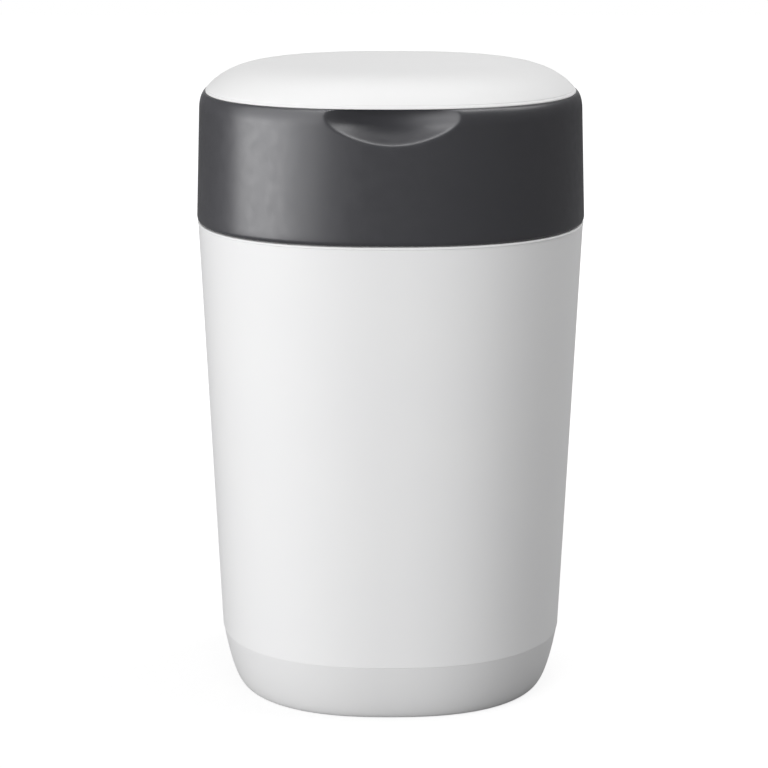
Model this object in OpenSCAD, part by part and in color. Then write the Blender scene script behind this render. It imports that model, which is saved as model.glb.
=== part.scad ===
// Nappy bin: a tapered tub, a lift-off head with a hinged lid, and a twist dial that holds
// the film cassette. Millimetres, +Z up, front towards -Y, origin on the floor under the
// middle of the tub.

/* [Outline] */
// Distance from the cassette to the widest part of the collar
collar_margin = 35; // [32:0.5:42]
// Squareness of the rounded plan outline, where 2 is a circle
squareness = 2.4; // [2.25:0.05:2.8]
// Facets round each moulded shell
shell_facets = 60; // [48:4:68]

/* [Tub] */
// Height of the ledge that the collar sits over
tub_h = 328.3; // [280:0.5:380]
// How far the collar overhangs the tub on each side
overhang = 0.5; // [0.4:0.1:1.4]
// How far the wall leans in from the ledge to the crease, each side
tub_taper = 13.1; // [6:0.1:18]
// Height of the crease above the floor
crease_h = 39.6; // [28:0.2:56]
// Depth of the step in the wall at the crease
crease_step = 0.4; // [0.2:0.1:0.8]
// How far the rounded base draws in below the crease, each side
base_round = 14; // [8:0.1:20]
// Share of that draw-in which is an even slant, so that the crease is a bend
base_slant = 0.5; // [0.2:0.05:0.8]
// Fullness of the rounded base under the slant, where 2 is an ellipse
base_fullness = 2.4; // [1.8:0.1:3.2]
// Wall of the tub
tub_wall = 2.5; // [2:0.1:3.5]
// Rise of the tub rim inside the collar
rim_h = 20.7; // [14:0.1:24]
// Wall of the tub rim
rim_wall = 2.6; // [2:0.1:3]
// Height of the hollow under the base
foot_recess = 2.5; // [1.5:0.1:5]
// Width of the ring that the tub stands on
foot_ring_w = 11; // [6:0.5:16]

/* [Collar] */
// Height of the collar
collar_h = 86.8; // [84:0.2:100]
// How far the collar leans in from its lower edge to its shoulder, each side
collar_taper = 2.6; // [0.5:0.1:3]
// Height of the rounded shoulder
shoulder_h = 12; // [9:0.5:14]
// How far the shoulder draws in, each side
shoulder_in = 4.2; // [3:0.1:6]
// Wall of the collar
collar_wall = 3; // [2.6:0.1:3.4]
// Rounding of the collar's lower edge
edge_round = 3; // [2:0.1:4]
// Thickness of the top flange
flange_t = 3; // [2.6:0.1:3.4]
// Height of the screw bosses under the top flange
boss_h = 5.6; // [5:0.1:7]
// Outer radius of the screw bosses
boss_r = 3.8; // [3.2:0.1:4]
// Thickness of the inner rib that rests on the tub rim
rib_t = 2; // [1.5:0.1:3]
// Thickness of the soft ring under the rib
head_seal_t = 1.6; // [1.2:0.1:3]

/* [Thumb recess] */
// Half width of the recess
recess_half_w = 43.3; // [36:0.1:52]
// Half height of the full ellipse of the recess
recess_half_h = 18.1; // [14:0.1:24]
// How much narrower the ellipse is at its foot than a true one, as a share
recess_taper = 0.23; // [0:0.01:0.3]
// Distance of the ellipse's centre below the top of the collar
recess_drop = 4.2; // [4:0.1:9]
// Depth of the recess
recess_depth = 15; // [9:0.5:16.5]
// Power of the recess's hollow, where 0.5 is an ellipse and 1 a parabola
recess_fullness = 1; // [0.5:0.05:1.2]

/* [Lid] */
// Height of the dome
dome_h = 18.6; // [16:0.2:26]
// Flatness of the top of the dome
dome_flatness = 6.8; // [5:0.1:9]
// Fullness of the dome's edge
dome_fullness = 1.12; // [1:0.02:1.3]
// How far the lid's edge sits inside the shoulder
lid_inset = 0.3; // [0:0.1:1]
// Wall of the dome
lid_wall = 2.5; // [2:0.1:3]
// Thickness of the liner plate
liner_t = 2; // [1.5:0.1:2.4]
// Wall of the liner's plug skirt
plug_wall = 2; // [1.6:0.1:2.6]
// How far the plug skirt reaches into the opening
plug_h = 3.2; // [2:0.1:3.6]
// Thickness of the soft ring round the plug
lid_seal_t = 2.3; // [1.4:0.1:2.5]

/* [Hinge] */
// Radius of the knuckles
knuckle_r = 5; // [4.4:0.1:5.2]
// Radius of the pin
hinge_pin_r = 2; // [1.5:0.1:2.5]
// Half length of the lid's barrel
barrel_half = 29.8; // [20:0.2:31]
// Length of each ear
ear_w = 8; // [7:0.5:9]

/* [Cassette] */
// Outer radius of the cassette
cassette_r = 98; // [92:0.5:98.5]
// Height of the cassette
cassette_h = 55; // [48:0.5:56]
// Inner radius of the throat tube
throat_r = 62.5; // [52:0.5:66]
// Wall of the cassette
cassette_wall = 1.6; // [1.2:0.1:2]
// Width of the slit that the film leaves through
film_slit = 2.9; // [2:0.1:5]

/* [Dial and well] */
// Wall of the dial
dial_wall = 2.3; // [2:0.1:2.6]
// Wall of the well
well_wall = 2.4; // [2:0.1:2.6]
// Thickness of the well's deck and floor
deck_t = 3; // [2.6:0.1:3.4]
// Width of the deck outside the well
deck_w = 11; // [9.5:0.5:11]
// Thickness of the dial's grip ring
grip_ring_t = 2.4; // [2:0.1:2.8]
// Height of the finger ribs
finger_rib_h = 4.6; // [3:0.1:5]
// Number of finger ribs, and of click notches
clicks = 12; // [8:4:24]

/* [Petals] */
// Radius of the hole in the middle of the petals
petal_hole_r = 26; // [16:0.5:36]
// Drop of the petals from their ring to their tips
petal_drop = 20; // [12:0.5:28]
// Thickness of the petals
petal_t = 2; // [1.6:0.1:3]
// Number of petals
petals = 8; // [6:1:12]
// Thickness of the clamp ring
clamp_t = 2.5; // [2:0.1:4]

/* [Cutter] */
// Length of the rail
rail_l = 70; // [66:1:76]
// Width of the rail
rail_w = 14; // [13:0.5:16]
// Height of the rail
rail_h = 14; // [13:0.5:18]
// Travel of the slide
cutter_travel = 22; // [18:0.5:23]
// Thickness of the blade
blade_t = 0.5; // [0.4:0.1:0.8]

/* [Screws] */
// Thread radius of the screws
screw_r = 1.45; // [1.2:0.05:1.6]
// Head radius of the screws
screw_head_r = 2.8; // [2.5:0.1:3]
// Head height of the screws
screw_head_h = 1.8; // [1.4:0.1:2.2]

/* [Clearances] */
// Gap between the tub's ledge and the collar
ledge_gap = 0.5; // [0.3:0.1:1]
// Gap between the collar and the lid
seam_gap = 0.4; // [0.3:0.1:0.8]
// Gap between the collar's skirt and the tub rim
rim_clear = 0.8; // [0.7:0.1:1.2]
// Gap between soft rings and what they seal against
soft_clear = 0.3; // [0.3:0.05:0.6]
// Gap round the dial in its well
well_clear = 1; // [0.6:0.1:1.5]
// Gap between the cassette and the dial
cassette_clear = 3.3; // [2.6:0.1:3.6]
// Gap under parts that turn or slide
bearing_gap = 0.3; // [0.2:0.05:0.5]
// Gap between fixed parts that fit together
fit_gap = 0.3; // [0.2:0.05:0.4]
// Radial clearance of the hinge pin in the lid's barrel
pin_clear = 0.05; // [0.02:0.01:0.1]
// Radial clearance of a screw in its hole
screw_clear = 0.05; // [0.02:0.01:0.1]

/* [Hidden] */
$fn = 96;
small = 0.01;

// Colours, as the photograph shows the outside
white_plastic = [0.93, 0.93, 0.94];
dark_plastic = [0.27, 0.27, 0.29];
pale_grey = [0.78, 0.79, 0.81];
soft_grey = [0.45, 0.46, 0.48];
cassette_blue = [0.70, 0.80, 0.86];
steel = [0.72, 0.73, 0.75];

// Heights of the outer shells
collar_bottom = tub_h + ledge_gap;
collar_top = collar_bottom + collar_h;
shoulder_z = collar_top - shoulder_h;
flange_z = collar_top - flange_t;
lid_bottom = collar_top + seam_gap;
dome_top = lid_bottom + dome_h;
rim_top = tub_h + rim_h;
seal_z = rim_top + soft_clear;
rib_z = seal_z + head_seal_t;

// Half widths of the outer shells
collar_half = cassette_r + collar_margin;
tub_half = collar_half - overhang;
crease_half = tub_half - tub_taper;
foot_half = crease_half - base_round;
skirt_half = collar_half - collar_wall;
rim_half = skirt_half - rim_clear;
rim_in_half = rim_half - rim_wall;
shoulder_half = collar_half - collar_taper;
lid_half = shoulder_half - shoulder_in - lid_inset;

// The dial and the well, worked outwards from the cassette
dial_in_r = cassette_r + cassette_clear;
dial_r = dial_in_r + dial_wall;
well_in_r = dial_r + well_clear;
well_r = well_in_r + well_wall;
grip_ring_r = well_r + 0.5;
opening_r = grip_ring_r + 1.5;
deck_r = well_r + deck_w;
boss_ring_r = opening_r + boss_r + 0.2;

// Heights in the head, worked down from the collar's top
deck_top = flange_z - boss_h;
deck_z = deck_top - deck_t;
grip_ring_z = deck_top + bearing_gap;
cassette_top = grip_ring_z - 0.5;
cassette_z = cassette_top - cassette_h;
dial_floor_t = 2.4;
dial_z = cassette_z - dial_floor_t;
floor_top = dial_z - bearing_gap;
floor_z = floor_top - deck_t;
clamp_z = floor_z - petal_t - clamp_t;

// Thumb recess
recess_z = collar_top - recess_drop;
front_steps = 8;
scoop_rows = 7;

// Lid
ledge_z = lid_bottom + 0.6 + liner_t + 0.1;
liner_half = lid_half - 3.9;
liner_seat_half = liner_half + fit_gap;
inner_dome_half = liner_seat_half - 1.3;
plug_top = lid_bottom + 0.6;
plug_z = collar_top - plug_h;
plug_r = opening_r - 3;

// Hinge
hinge_y = lid_half + 0.5;
hinge_z = lid_bottom + 0.8;
ear_in = barrel_half + 0.4;
ear_out = ear_in + ear_w;
block_half = ear_out + 0.6;
block_wall = 2.9;
block_y = hinge_y - knuckle_r - block_wall;
block_z = deck_top + 0.1;
block_top = collar_top - 0.2;
rear_depth = shoulder_half * plan_y(block_half / shoulder_half);
rear_sag = shoulder_half - rear_depth;
rear_arc_r = (pow(block_half, 2) + pow(rear_sag, 2)) / (2 * rear_sag);
hinge_screw_x = (ear_in + ear_out) / 2;
hinge_screw_y = block_y + block_wall;
tab_half = hinge_screw_x + 3;
tab_y = hinge_screw_y + 2.6;

// Screw circles
boss_angles = [-40, 10, 56, 124, 170, 220];
clamp_screw_r = throat_r + 13.5;
clamp_screws_n = 6;
pilot_left = 0.4;
screw_pass_r = screw_r + 0.25;
block_pilot = 5;

// Click spring, outside the well at the left
click_angle = 180;
notch_r = 2;
notch_ring_r = dial_r + 0.6;
notch_h = 7;
leaf_t = 0.8;
leaf_l = 34;
leaf_h = 6;
leaf_z = dial_z + 1;
leaf_r = well_r + 1.2;
leaf_screw_y = leaf_l - 5;

// Cutter rail, under the front of the well
rail_y = -(throat_r + 33.5);
rail_z = floor_z - rail_h;
channel_l = rail_l - 16;
channel_w = 9;
rail_floor_t = 2.2;
carriage_l = 16;
carriage_x = -channel_l / 2 + 3;
neck_w = 3.8;
film_slot_x = 16;
film_slot_w = 3;
rail_screw_x = rail_l / 2 - 4;
carriage_z = rail_z + rail_floor_t + bearing_gap;
blade_x = carriage_x + 6;
blade_z = carriage_z + 1;
rivet_x = carriage_x + 10;
rivet_z = carriage_z + 4.5;
rivet_r = 1;

function signed_pow(v, e) = sign(v) * pow(abs(v), e);
function plan_dir(t) = [signed_pow(cos(t), 2 / squareness), signed_pow(sin(t), 2 / squareness)];
// Depth of the unit outline at a given fraction of its half width
function plan_y(x) = pow(1 - pow(abs(x), squareness), 1 / squareness);
function even_dirs() = [for (i = [0:shell_facets - 1]) plan_dir(360 * i / shell_facets)];
function ring(half, z) = [for (d = even_dirs()) [half * d.x, half * d.y, z]];
function plate_points(half) = [for (d = even_dirs()) half * d];

// Closed surface through rings of points that run anticlockwise seen from above. A looped
// surface joins its last ring to its first, and an open one is closed by two points on the axis.
module skin(rings, looped) {
    n = len(rings[0]);
    m = len(rings);
    poles = [[0, 0, rings[0][0].z], [0, 0, rings[m - 1][0].z]];
    points = concat([for (r = rings) each r], looped ? [] : poles);
    walls = [for (i = [0:(looped ? m - 1 : m - 2)], j = [0:n - 1])
        let (a = i * n + j, b = i * n + (j + 1) % n, up = (i + 1) % m * n)
        let (c = up + (j + 1) % n, d = up + j)
        each [[a, c, b], [a, d, c]]];
    caps = looped ? [] : [for (j = [0:n - 1]) let (k = (j + 1) % n, top = (m - 1) * n)
        each [[n * m, j, k], [n * m + 1, top + k, top + j]]];
    polyhedron(points = points, faces = concat(walls, caps), convexity = 8);
}

// Rounded base: half widths and heights from the crease down to the foot, as the sum of an even
// slant and a superellipse
function base_curve(half, foot, top, bottom, steps) = [for (i = [0:steps])
    let (down = sin(90 * i / steps))
    let (under = 1 - pow(1 - pow(down, base_fullness), 1 / base_fullness))
    [half - (half - foot) * (base_slant * down + (1 - base_slant) * under),
     top - (top - bottom) * down]];
function reversed(list) = [for (i = [len(list) - 1:-1:0]) list[i]];

module tub() {
    floor_in = foot_recess + tub_wall;
    foot_in = foot_half - foot_ring_w;
    foot_slope = 2;
    ledge_t = 3;
    ledge_round = 1.4;
    haunch_h = 4;
    rim_chamfer = 0.6;
    outside = reversed(base_curve(crease_half - crease_step, foot_half, crease_h, 0, 8));
    inside = base_curve(crease_half - tub_wall, foot_half - tub_wall, crease_h, floor_in, 6);
    profile = concat(
        [[foot_in - foot_slope, foot_recess], [foot_in, 0]],
        outside,
        [[crease_half, crease_h + crease_step],
         [tub_half, tub_h - ledge_round],
         [tub_half - 0.3 * ledge_round, tub_h - 0.3 * ledge_round], [tub_half - ledge_round, tub_h],
         [rim_half, tub_h], [rim_half, rim_top - rim_chamfer], [rim_half - rim_chamfer, rim_top],
         [rim_in_half, rim_top], [rim_in_half, tub_h - ledge_t],
         [tub_half - tub_wall, tub_h - ledge_t - haunch_h]],
        inside);
    color(white_plastic) skin([for (p = profile) ring(p[0], p[1])], false);
}

// Half width of the collar's outer face at a height
function collar_at(z) = z <= shoulder_z
    ? collar_half - collar_taper * (z - collar_bottom) / (shoulder_z - collar_bottom)
    : shoulder_half - shoulder_in * (1 - sqrt(1 - pow((z - shoulder_z) / shoulder_h, 2)));

// Columns of the collar: close together across the thumb recess, even round the rest
function front_dir(x) = [x / shoulder_half, -plan_y(x / shoulder_half)];
function front_dirs() = let (reach = recess_half_w + collar_wall)
    [for (k = [-front_steps - 1:front_steps + 1]) front_dir(abs(k) > front_steps
        ? sign(k) * reach : recess_half_w * sin(90 * k / front_steps))];
function side_dirs() =
    let (x = (recess_half_w + collar_wall) / shoulder_half, front = acos(pow(x, squareness / 2)))
    let (n = round(shell_facets / 6), m = shell_facets / 2 - 4)
    concat([for (i = [1:n]) plan_dir(front * (i / n - 1))], [for (i = [1:m - 1]) plan_dir(180 * i / m)],
        [for (i = [0:n - 1]) plan_dir(180 + front * i / n)]);
function collar_dirs() = concat(front_dirs(), side_dirs());

// Depth of the recess, and the height of its lower edge, at a distance from the middle. The
// outline is an ellipse that narrows by 1 - taper v^2, so v^2 is found by repeating
function scoop(x, z, grow) =
    let (high = pow((z - recess_z) / (recess_half_h + grow), 2))
    let (wide = pow(x / (recess_half_w + grow) / (1 - recess_taper * min(1, high)), 2))
    recess_depth * pow(max(0, 1 - wide - high), recess_fullness);
function mouth_high(wide, high, left) = left == 0 ? high
    : mouth_high(wide, max(0, 1 - wide / pow(1 - recess_taper * high, 2)), left - 1);
function mouth_z(x, grow) =
    let (wide = pow(x / (recess_half_w + grow), 2))
    recess_z - (recess_half_h + grow) * sqrt(mouth_high(wide, max(0, 1 - wide), 12));
function collar_point(d, z, wall) =
    let (half = collar_at(z) - wall, x = half * d.x, sunk = max(0, shoulder_half - collar_at(z)))
    let (push = d.y < 0 ? max(0, scoop(x, z, wall) - sunk * abs(d.y)) : 0)
    [x, half * d.y + push, z];
function ease(s) = 1 - cos(90 * s);

// Points of the collar's rounded lower edge: shares of the rounding, inwards and upwards
edge_points = [[0.6, 0], [0.17, 0.3]];
rib_inset = 0.4;

function collar_column(d) =
    let (x = shoulder_half * d.x, front = d.y < 0, low = collar_bottom + edge_round)
    let (mouth = front ? mouth_z(x, 0) : recess_z)
    let (mouth_in = front ? mouth_z(x, collar_wall) : recess_z)
    let (u = d / norm(d), rib_top = rib_z + rib_t, rib_half = rim_in_half - rib_inset)
    concat(
        [[skirt_half * d.x, skirt_half * d.y, collar_bottom]],
        [for (p = edge_points)
            [for (i = [0:1]) (collar_half - p[0] * edge_round) * d[i], collar_bottom + p[1] * edge_round]],
        [collar_point(d, low, 0)],
        [for (f = [0.5, 0.92, 0.96, 1]) collar_point(d, low + (mouth - low) * f, 0)],
        [for (s = [1:scoop_rows])
            collar_point(d, mouth + (collar_top - mouth) * ease(s / scoop_rows), 0)],
        [[opening_r * u.x, opening_r * u.y, collar_top], [opening_r * u.x, opening_r * u.y, flange_z]],
        [for (s = [scoop_rows:-1:0])
            collar_point(d, mouth_in + (flange_z - mouth_in) * ease(s / scoop_rows), collar_wall)],
        [collar_point(d, rib_top, collar_wall)],
        [[rib_half * d.x, rib_half * d.y, rib_top], [rib_half * d.x, rib_half * d.y, rib_z],
         [skirt_half * d.x, skirt_half * d.y, rib_z]]);

module collar() {
    columns = [for (d = collar_dirs()) collar_column(d)];
    rings = [for (i = [0:len(columns[0]) - 1]) [for (c = columns) c[i]]];
    gap = fit_gap;
    color(dark_plastic) difference() {
        union() {
            difference() {
                skin(rings, true);
                translate([-block_half - gap, block_y - gap, block_z - gap])
                    cube([2 * (block_half + gap), collar_half, collar_half]);
            }
            on_circle(boss_ring_r, boss_angles) translate([0, 0, deck_top])
                cylinder(r = boss_r, h = boss_h + 1, $fn = 32);
        }
        on_circle(boss_ring_r, boss_angles) translate([0, 0, deck_top - small])
            cylinder(r = screw_r + screw_clear, h = boss_h, $fn = 24);
    }
}

module on_circle(r, angles) {
    for (t = angles) rotate([0, 0, t]) translate([r, 0, 0]) children();
}

// Pan-head screw with a cross recess, that points up from its head seat at z = 0
module screw(length) {
    cross_l = 3.2;
    cross_w = 0.6;
    cross_depth = 1;
    difference() {
        union() {
            translate([0, 0, -screw_head_h]) cylinder(r = screw_head_r, h = screw_head_h, $fn = 32);
            cylinder(r = screw_r, h = length, $fn = 24);
        }
        for (t = [0, 90]) rotate([0, 0, t]) translate([-cross_l / 2, -cross_w / 2, -screw_head_h - small])
            cube([cross_l, cross_w, cross_depth]);
    }
}

module head_seal() {
    outer = skirt_half - 0.45;
    inner = rim_in_half;
    profile = [[inner, seal_z], [outer, seal_z], [outer, rib_z - 0.05], [inner, rib_z - 0.05]];
    color(soft_grey) skin([for (p = profile) ring(p[0], p[1])], true);
}

module chassis() {
    hole_r = throat_r + 3.5;
    color(pale_grey) difference() {
        union() {
            rotate_extrude() polygon([[hole_r, floor_z], [well_r, floor_z], [well_r, deck_z],
                [deck_r, deck_z], [deck_r, deck_top], [well_in_r, deck_top],
                [well_in_r, floor_top], [hole_r, floor_top]]);
            // Tab that the hinge block stands on
            translate([-tab_half, well_r, deck_z])
                cube([2 * tab_half, tab_y - well_r, deck_t]);
            click_lug();
        }
        // Flat at the front, clear of the back of the thumb recess
        translate([-deck_r, -deck_r - 1, deck_z - 1])
            cube([2 * deck_r, deck_r + 1 - (shoulder_half - recess_depth - collar_wall - 0.9), deck_t + 2]);
        on_circle(boss_ring_r, boss_angles) translate([0, 0, deck_z - 1])
            cylinder(r = screw_pass_r, h = deck_t + 2, $fn = 24);
        for (s = [-1, 1]) translate([s * hinge_screw_x, hinge_screw_y, deck_z - 1])
            cylinder(r = screw_pass_r, h = deck_t + 2, $fn = 24);
        on_circle(clamp_screw_r, clamp_angles()) translate([0, 0, floor_z - small])
            cylinder(r = screw_r + screw_clear, h = deck_t - pilot_left, $fn = 24);
        for (s = [-1, 1]) translate([s * rail_screw_x, rail_y, floor_z - small])
            cylinder(r = screw_r + screw_clear, h = deck_t - pilot_left, $fn = 24);
        // Window and screw hole for the click spring
        rotate([0, 0, click_angle]) {
            translate([well_in_r - 1, -3, leaf_z - 1]) cube([well_wall + 2, 6, leaf_h + 2]);
            translate([well_in_r + pilot_left, leaf_screw_y, leaf_z + leaf_h / 2]) rotate([0, 90, 0])
                cylinder(r = screw_r + screw_clear, h = 12, $fn = 24);
        }
    }
}
function clamp_angles() = [for (i = [0:clamp_screws_n - 1]) 360 * i / clamp_screws_n];

// Pad on the outside of the well that the click spring is screwed to
module click_lug() {
    rotate([0, 0, click_angle]) difference() {
        translate([well_in_r - 8, leaf_screw_y - 4, leaf_z - 1])
            cube([leaf_r - well_in_r + 8, 8, leaf_h + 2]);
        translate([0, 0, leaf_z - 2]) cylinder(r = well_in_r + 1, h = leaf_h + 4);
    }
}

module chassis_screws() {
    color(steel) on_circle(boss_ring_r, boss_angles) translate([0, 0, deck_z])
        screw(deck_t + boss_h - 1);
}

module hinge_block() {
    arc_y = shoulder_half - rear_arc_r;
    inside = rear_arc_r - collar_half;
    steps = 6;
    rounded = [for (i = [0:steps]) let (z = block_z + (block_top - block_z) * i / steps)
        [collar_at(z) - arc_y, z]];
    color(dark_plastic) difference() {
        union() {
            intersection() {
                translate([-block_half, block_y, block_z])
                    cube([2 * block_half, collar_half, block_top - block_z]);
                translate([0, arc_y, 0]) rotate_extrude($fn = 180)
                    polygon(concat([[inside, block_z]], rounded, [[inside, block_top]]));
            }
            for (s = [-1, 1]) {
                x0 = s > 0 ? ear_in : -ear_out;
                translate([x0, hinge_y, hinge_z]) rotate([0, 90, 0])
                    cylinder(r = knuckle_r, h = ear_w, $fn = 64);
                translate([x0, hinge_y - knuckle_r, block_z])
                    cube([ear_w, 2 * knuckle_r, hinge_z - block_z]);
            }
        }
        translate([-ear_in, hinge_y, hinge_z]) rotate([0, 90, 0])
            cylinder(r = knuckle_r + 0.5, h = 2 * ear_in, $fn = 64);
        translate([-block_half - 1, hinge_y, hinge_z]) rotate([0, 90, 0])
            cylinder(r = hinge_pin_r + 0.02, h = 2 * block_half + 2, $fn = 48);
        for (s = [-1, 1]) translate([s * hinge_screw_x, hinge_screw_y, block_z - small])
            cylinder(r = screw_r + screw_clear, h = block_pilot, $fn = 24);
    }
}

module hinge_screws() {
    color(steel) for (s = [-1, 1]) translate([s * hinge_screw_x, hinge_screw_y, deck_z])
        screw(deck_t + block_pilot - pilot_left);
}

module hinge_pin() {
    color(steel) translate([-ear_out, hinge_y, hinge_z]) rotate([0, 90, 0])
        cylinder(r = hinge_pin_r, h = 2 * ear_out, $fn = 48);
}

module click_spring() {
    color(steel) rotate([0, 0, click_angle]) difference() {
        union() {
            translate([leaf_r, -3, leaf_z]) cube([leaf_t, leaf_l + 3, leaf_h]);
            translate([notch_ring_r, 0, leaf_z]) cylinder(r = notch_r - 0.5, h = leaf_h, $fn = 32);
            translate([notch_ring_r, -1.5, leaf_z]) cube([leaf_r - notch_ring_r + small, 3, leaf_h]);
        }
        translate([leaf_r - 1, leaf_screw_y, leaf_z + leaf_h / 2]) rotate([0, 90, 0])
            cylinder(r = screw_pass_r, h = 4, $fn = 24);
    }
}

module click_screw() {
    color(steel) rotate([0, 0, click_angle])
        translate([leaf_r + leaf_t, leaf_screw_y, leaf_z + leaf_h / 2]) rotate([0, -90, 0])
            screw(leaf_r + leaf_t - well_in_r - pilot_left - 0.2);
}

module grip_fingers() {
    ring_in = throat_r + 3.5;
    ring_out = clamp_screw_r + 6;
    steps = 8;
    reach = ring_in - petal_hole_r;
    top = [for (i = [0:steps]) let (s = i / steps)
        [ring_in - reach * s, floor_z - small - petal_drop * pow(s, 1.5)]];
    under = [for (p = reversed(top)) [p.x, p.y - petal_t]];
    color(soft_grey) difference() {
        rotate_extrude() polygon(concat([[ring_out, floor_z - small]], top, under,
            [[ring_out, floor_z - small - petal_t]]));
        for (i = [0:petals - 1]) rotate([0, 0, 360 * (i + 0.5) / petals])
            translate([petal_hole_r - 6, -1.25, floor_z - petal_drop - petal_t - 2])
                cube([reach, 2.5, petal_drop + petal_t + 4]);
        on_circle(clamp_screw_r, clamp_angles()) translate([0, 0, floor_z - petal_t - 1])
            cylinder(r = screw_pass_r, h = petal_t + 2, $fn = 24);
    }
}

module clamp_ring() {
    inner = throat_r + 4.5;
    outer = clamp_screw_r + 7.5;
    top = clamp_z + clamp_t - 2 * small;
    color(pale_grey) difference() {
        rotate_extrude() polygon([[inner, clamp_z], [outer, clamp_z], [outer, top], [inner, top]]);
        on_circle(clamp_screw_r, clamp_angles()) translate([0, 0, clamp_z - 1])
            cylinder(r = screw_pass_r, h = clamp_t + 2, $fn = 24);
    }
}

module clamp_screws() {
    color(steel) on_circle(clamp_screw_r, clamp_angles()) translate([0, 0, clamp_z])
        screw(clamp_t + petal_t + deck_t - pilot_left - 0.3);
}

module cutter_housing() {
    color(dark_plastic) difference() {
        translate([-rail_l / 2, rail_y - rail_w / 2, rail_z]) cube([rail_l, rail_w, rail_h - small]);
        translate([-channel_l / 2, rail_y - channel_w / 2, rail_z + rail_floor_t])
            cube([channel_l, channel_w, rail_h]);
        translate([carriage_x + 2, rail_y - neck_w / 2 - bearing_gap, rail_z - 1])
            cube([cutter_travel + carriage_l - 4, neck_w + 2 * bearing_gap, rail_h]);
        // Slot that the film is hooked into, across the rail
        translate([film_slot_x, rail_y - rail_w / 2 - 1, rail_z - 1])
            cube([film_slot_w, rail_w + 2, rail_h - 1]);
        for (s = [-1, 1]) translate([s * rail_screw_x, rail_y, rail_z - 1]) {
            cylinder(r = screw_pass_r, h = rail_h + 2, $fn = 24);
            cylinder(r = screw_head_r + 0.3, h = rail_h - 3, $fn = 32);
        }
    }
}

module housing_screws() {
    color(steel) for (s = [-1, 1]) translate([s * rail_screw_x, rail_y, rail_z + rail_h - 4])
        screw(4 + deck_t - pilot_left - 0.3);
}

function dome_z(r, bottom, height) =
    bottom + height * pow(1 - pow(r, dome_flatness), 1 / dome_fullness);

module lid_shell() {
    inner_h = dome_top - lid_wall - ledge_z;
    inside = [for (r = [0.3, 0.55, 0.72, 0.84, 0.92, 0.97, 1])
        [inner_dome_half * r, dome_z(r, ledge_z, inner_h)]];
    outside = [for (r = [1, 0.996, 0.985, 0.97, 0.95, 0.92, 0.88, 0.81, 0.7, 0.52, 0.28])
        [lid_half * r, dome_z(r, lid_bottom + 0.5, dome_h - 0.5)]];
    profile = concat(inside,
        [[liner_seat_half, ledge_z], [liner_seat_half, lid_bottom], [lid_half - 0.4, lid_bottom]],
        outside);
    color(white_plastic) difference() {
        skin([for (p = profile) ring(p[0], p[1])], false);
        translate([-block_half, hinge_y, hinge_z]) rotate([0, 90, 0])
            cylinder(r = knuckle_r + 0.6, h = 2 * block_half, $fn = 64);
        translate([-ear_in, liner_half - 6, lid_bottom - 1])
            cube([2 * ear_in, 20, ledge_z + 0.2 - lid_bottom + 1]);
    }
}

module lid_liner() {
    color(white_plastic) difference() {
        union() {
            translate([0, 0, plug_top]) linear_extrude(liner_t) polygon(plate_points(liner_half));
            translate([0, 0, plug_z]) difference() {
                cylinder(r = plug_r, h = plug_top - plug_z + small);
                translate([0, 0, -1]) cylinder(r = plug_r - plug_wall, h = plug_top - plug_z + 2);
            }
            translate([-barrel_half, liner_half - 5, plug_top])
                cube([2 * barrel_half, hinge_y - liner_half + 5, liner_t]);
            translate([-barrel_half, hinge_y, hinge_z]) rotate([0, 90, 0])
                cylinder(r = knuckle_r, h = 2 * barrel_half, $fn = 64);
        }
        translate([-barrel_half - 1, hinge_y, hinge_z]) rotate([0, 90, 0])
            cylinder(r = hinge_pin_r + pin_clear, h = 2 * barrel_half + 2, $fn = 48);
    }
}

module lid_seal() {
    r0 = plug_r + 0.05;
    z0 = plug_z + 0.2;
    color(soft_grey) rotate_extrude() polygon([[r0, z0], [r0 + 0.6 * lid_seal_t, z0],
        [r0 + lid_seal_t, z0 + 0.8], [r0 + lid_seal_t, z0 + 1.4], [r0 + 0.6 * lid_seal_t, z0 + 2.2],
        [r0, z0 + 2.2]]);
}

module dial() {
    hole_r = throat_r + 2;
    ribs = 4;
    color(white_plastic) difference() {
        union() {
            rotate_extrude() polygon([[hole_r, dial_z], [dial_r, dial_z], [dial_r, grip_ring_z - small],
                [dial_in_r, grip_ring_z - small], [dial_in_r, cassette_z - small],
                [hole_r, cassette_z - small]]);
            // Ribs that centre the cassette
            for (i = [0:ribs - 1]) rotate([0, 0, 45 + 360 * i / ribs])
                translate([cassette_r + 0.4, -2, cassette_z - 1])
                    cube([dial_in_r - cassette_r + 0.6, 4, cassette_h - 12]);
        }
        on_circle(notch_ring_r, [for (i = [0:clicks - 1]) click_angle + 360 * i / clicks])
            translate([0, 0, dial_z - 1]) cylinder(r = notch_r, h = notch_h + 2, $fn = 32);
    }
}

module grip_ring() {
    inner_r = cassette_r - 6;
    spigot_r = dial_in_r - 0.2;
    rib_out = plug_r - plug_wall - 0.8;
    color(soft_grey) {
        rotate_extrude() polygon([[inner_r, grip_ring_z], [spigot_r - 1.8, grip_ring_z],
            [spigot_r - 1.8, grip_ring_z - 5], [spigot_r, grip_ring_z - 5], [spigot_r, grip_ring_z],
            [grip_ring_r, grip_ring_z], [grip_ring_r, grip_ring_z + grip_ring_t - 0.6],
            [grip_ring_r - 0.6, grip_ring_z + grip_ring_t], [inner_r, grip_ring_z + grip_ring_t]]);
        for (i = [0:clicks - 1]) rotate([0, 0, 360 * (i + 0.5) / clicks])
            translate([0, 0, grip_ring_z + grip_ring_t - small]) finger_rib(inner_r + 0.6, rib_out);
    }
}

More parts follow.
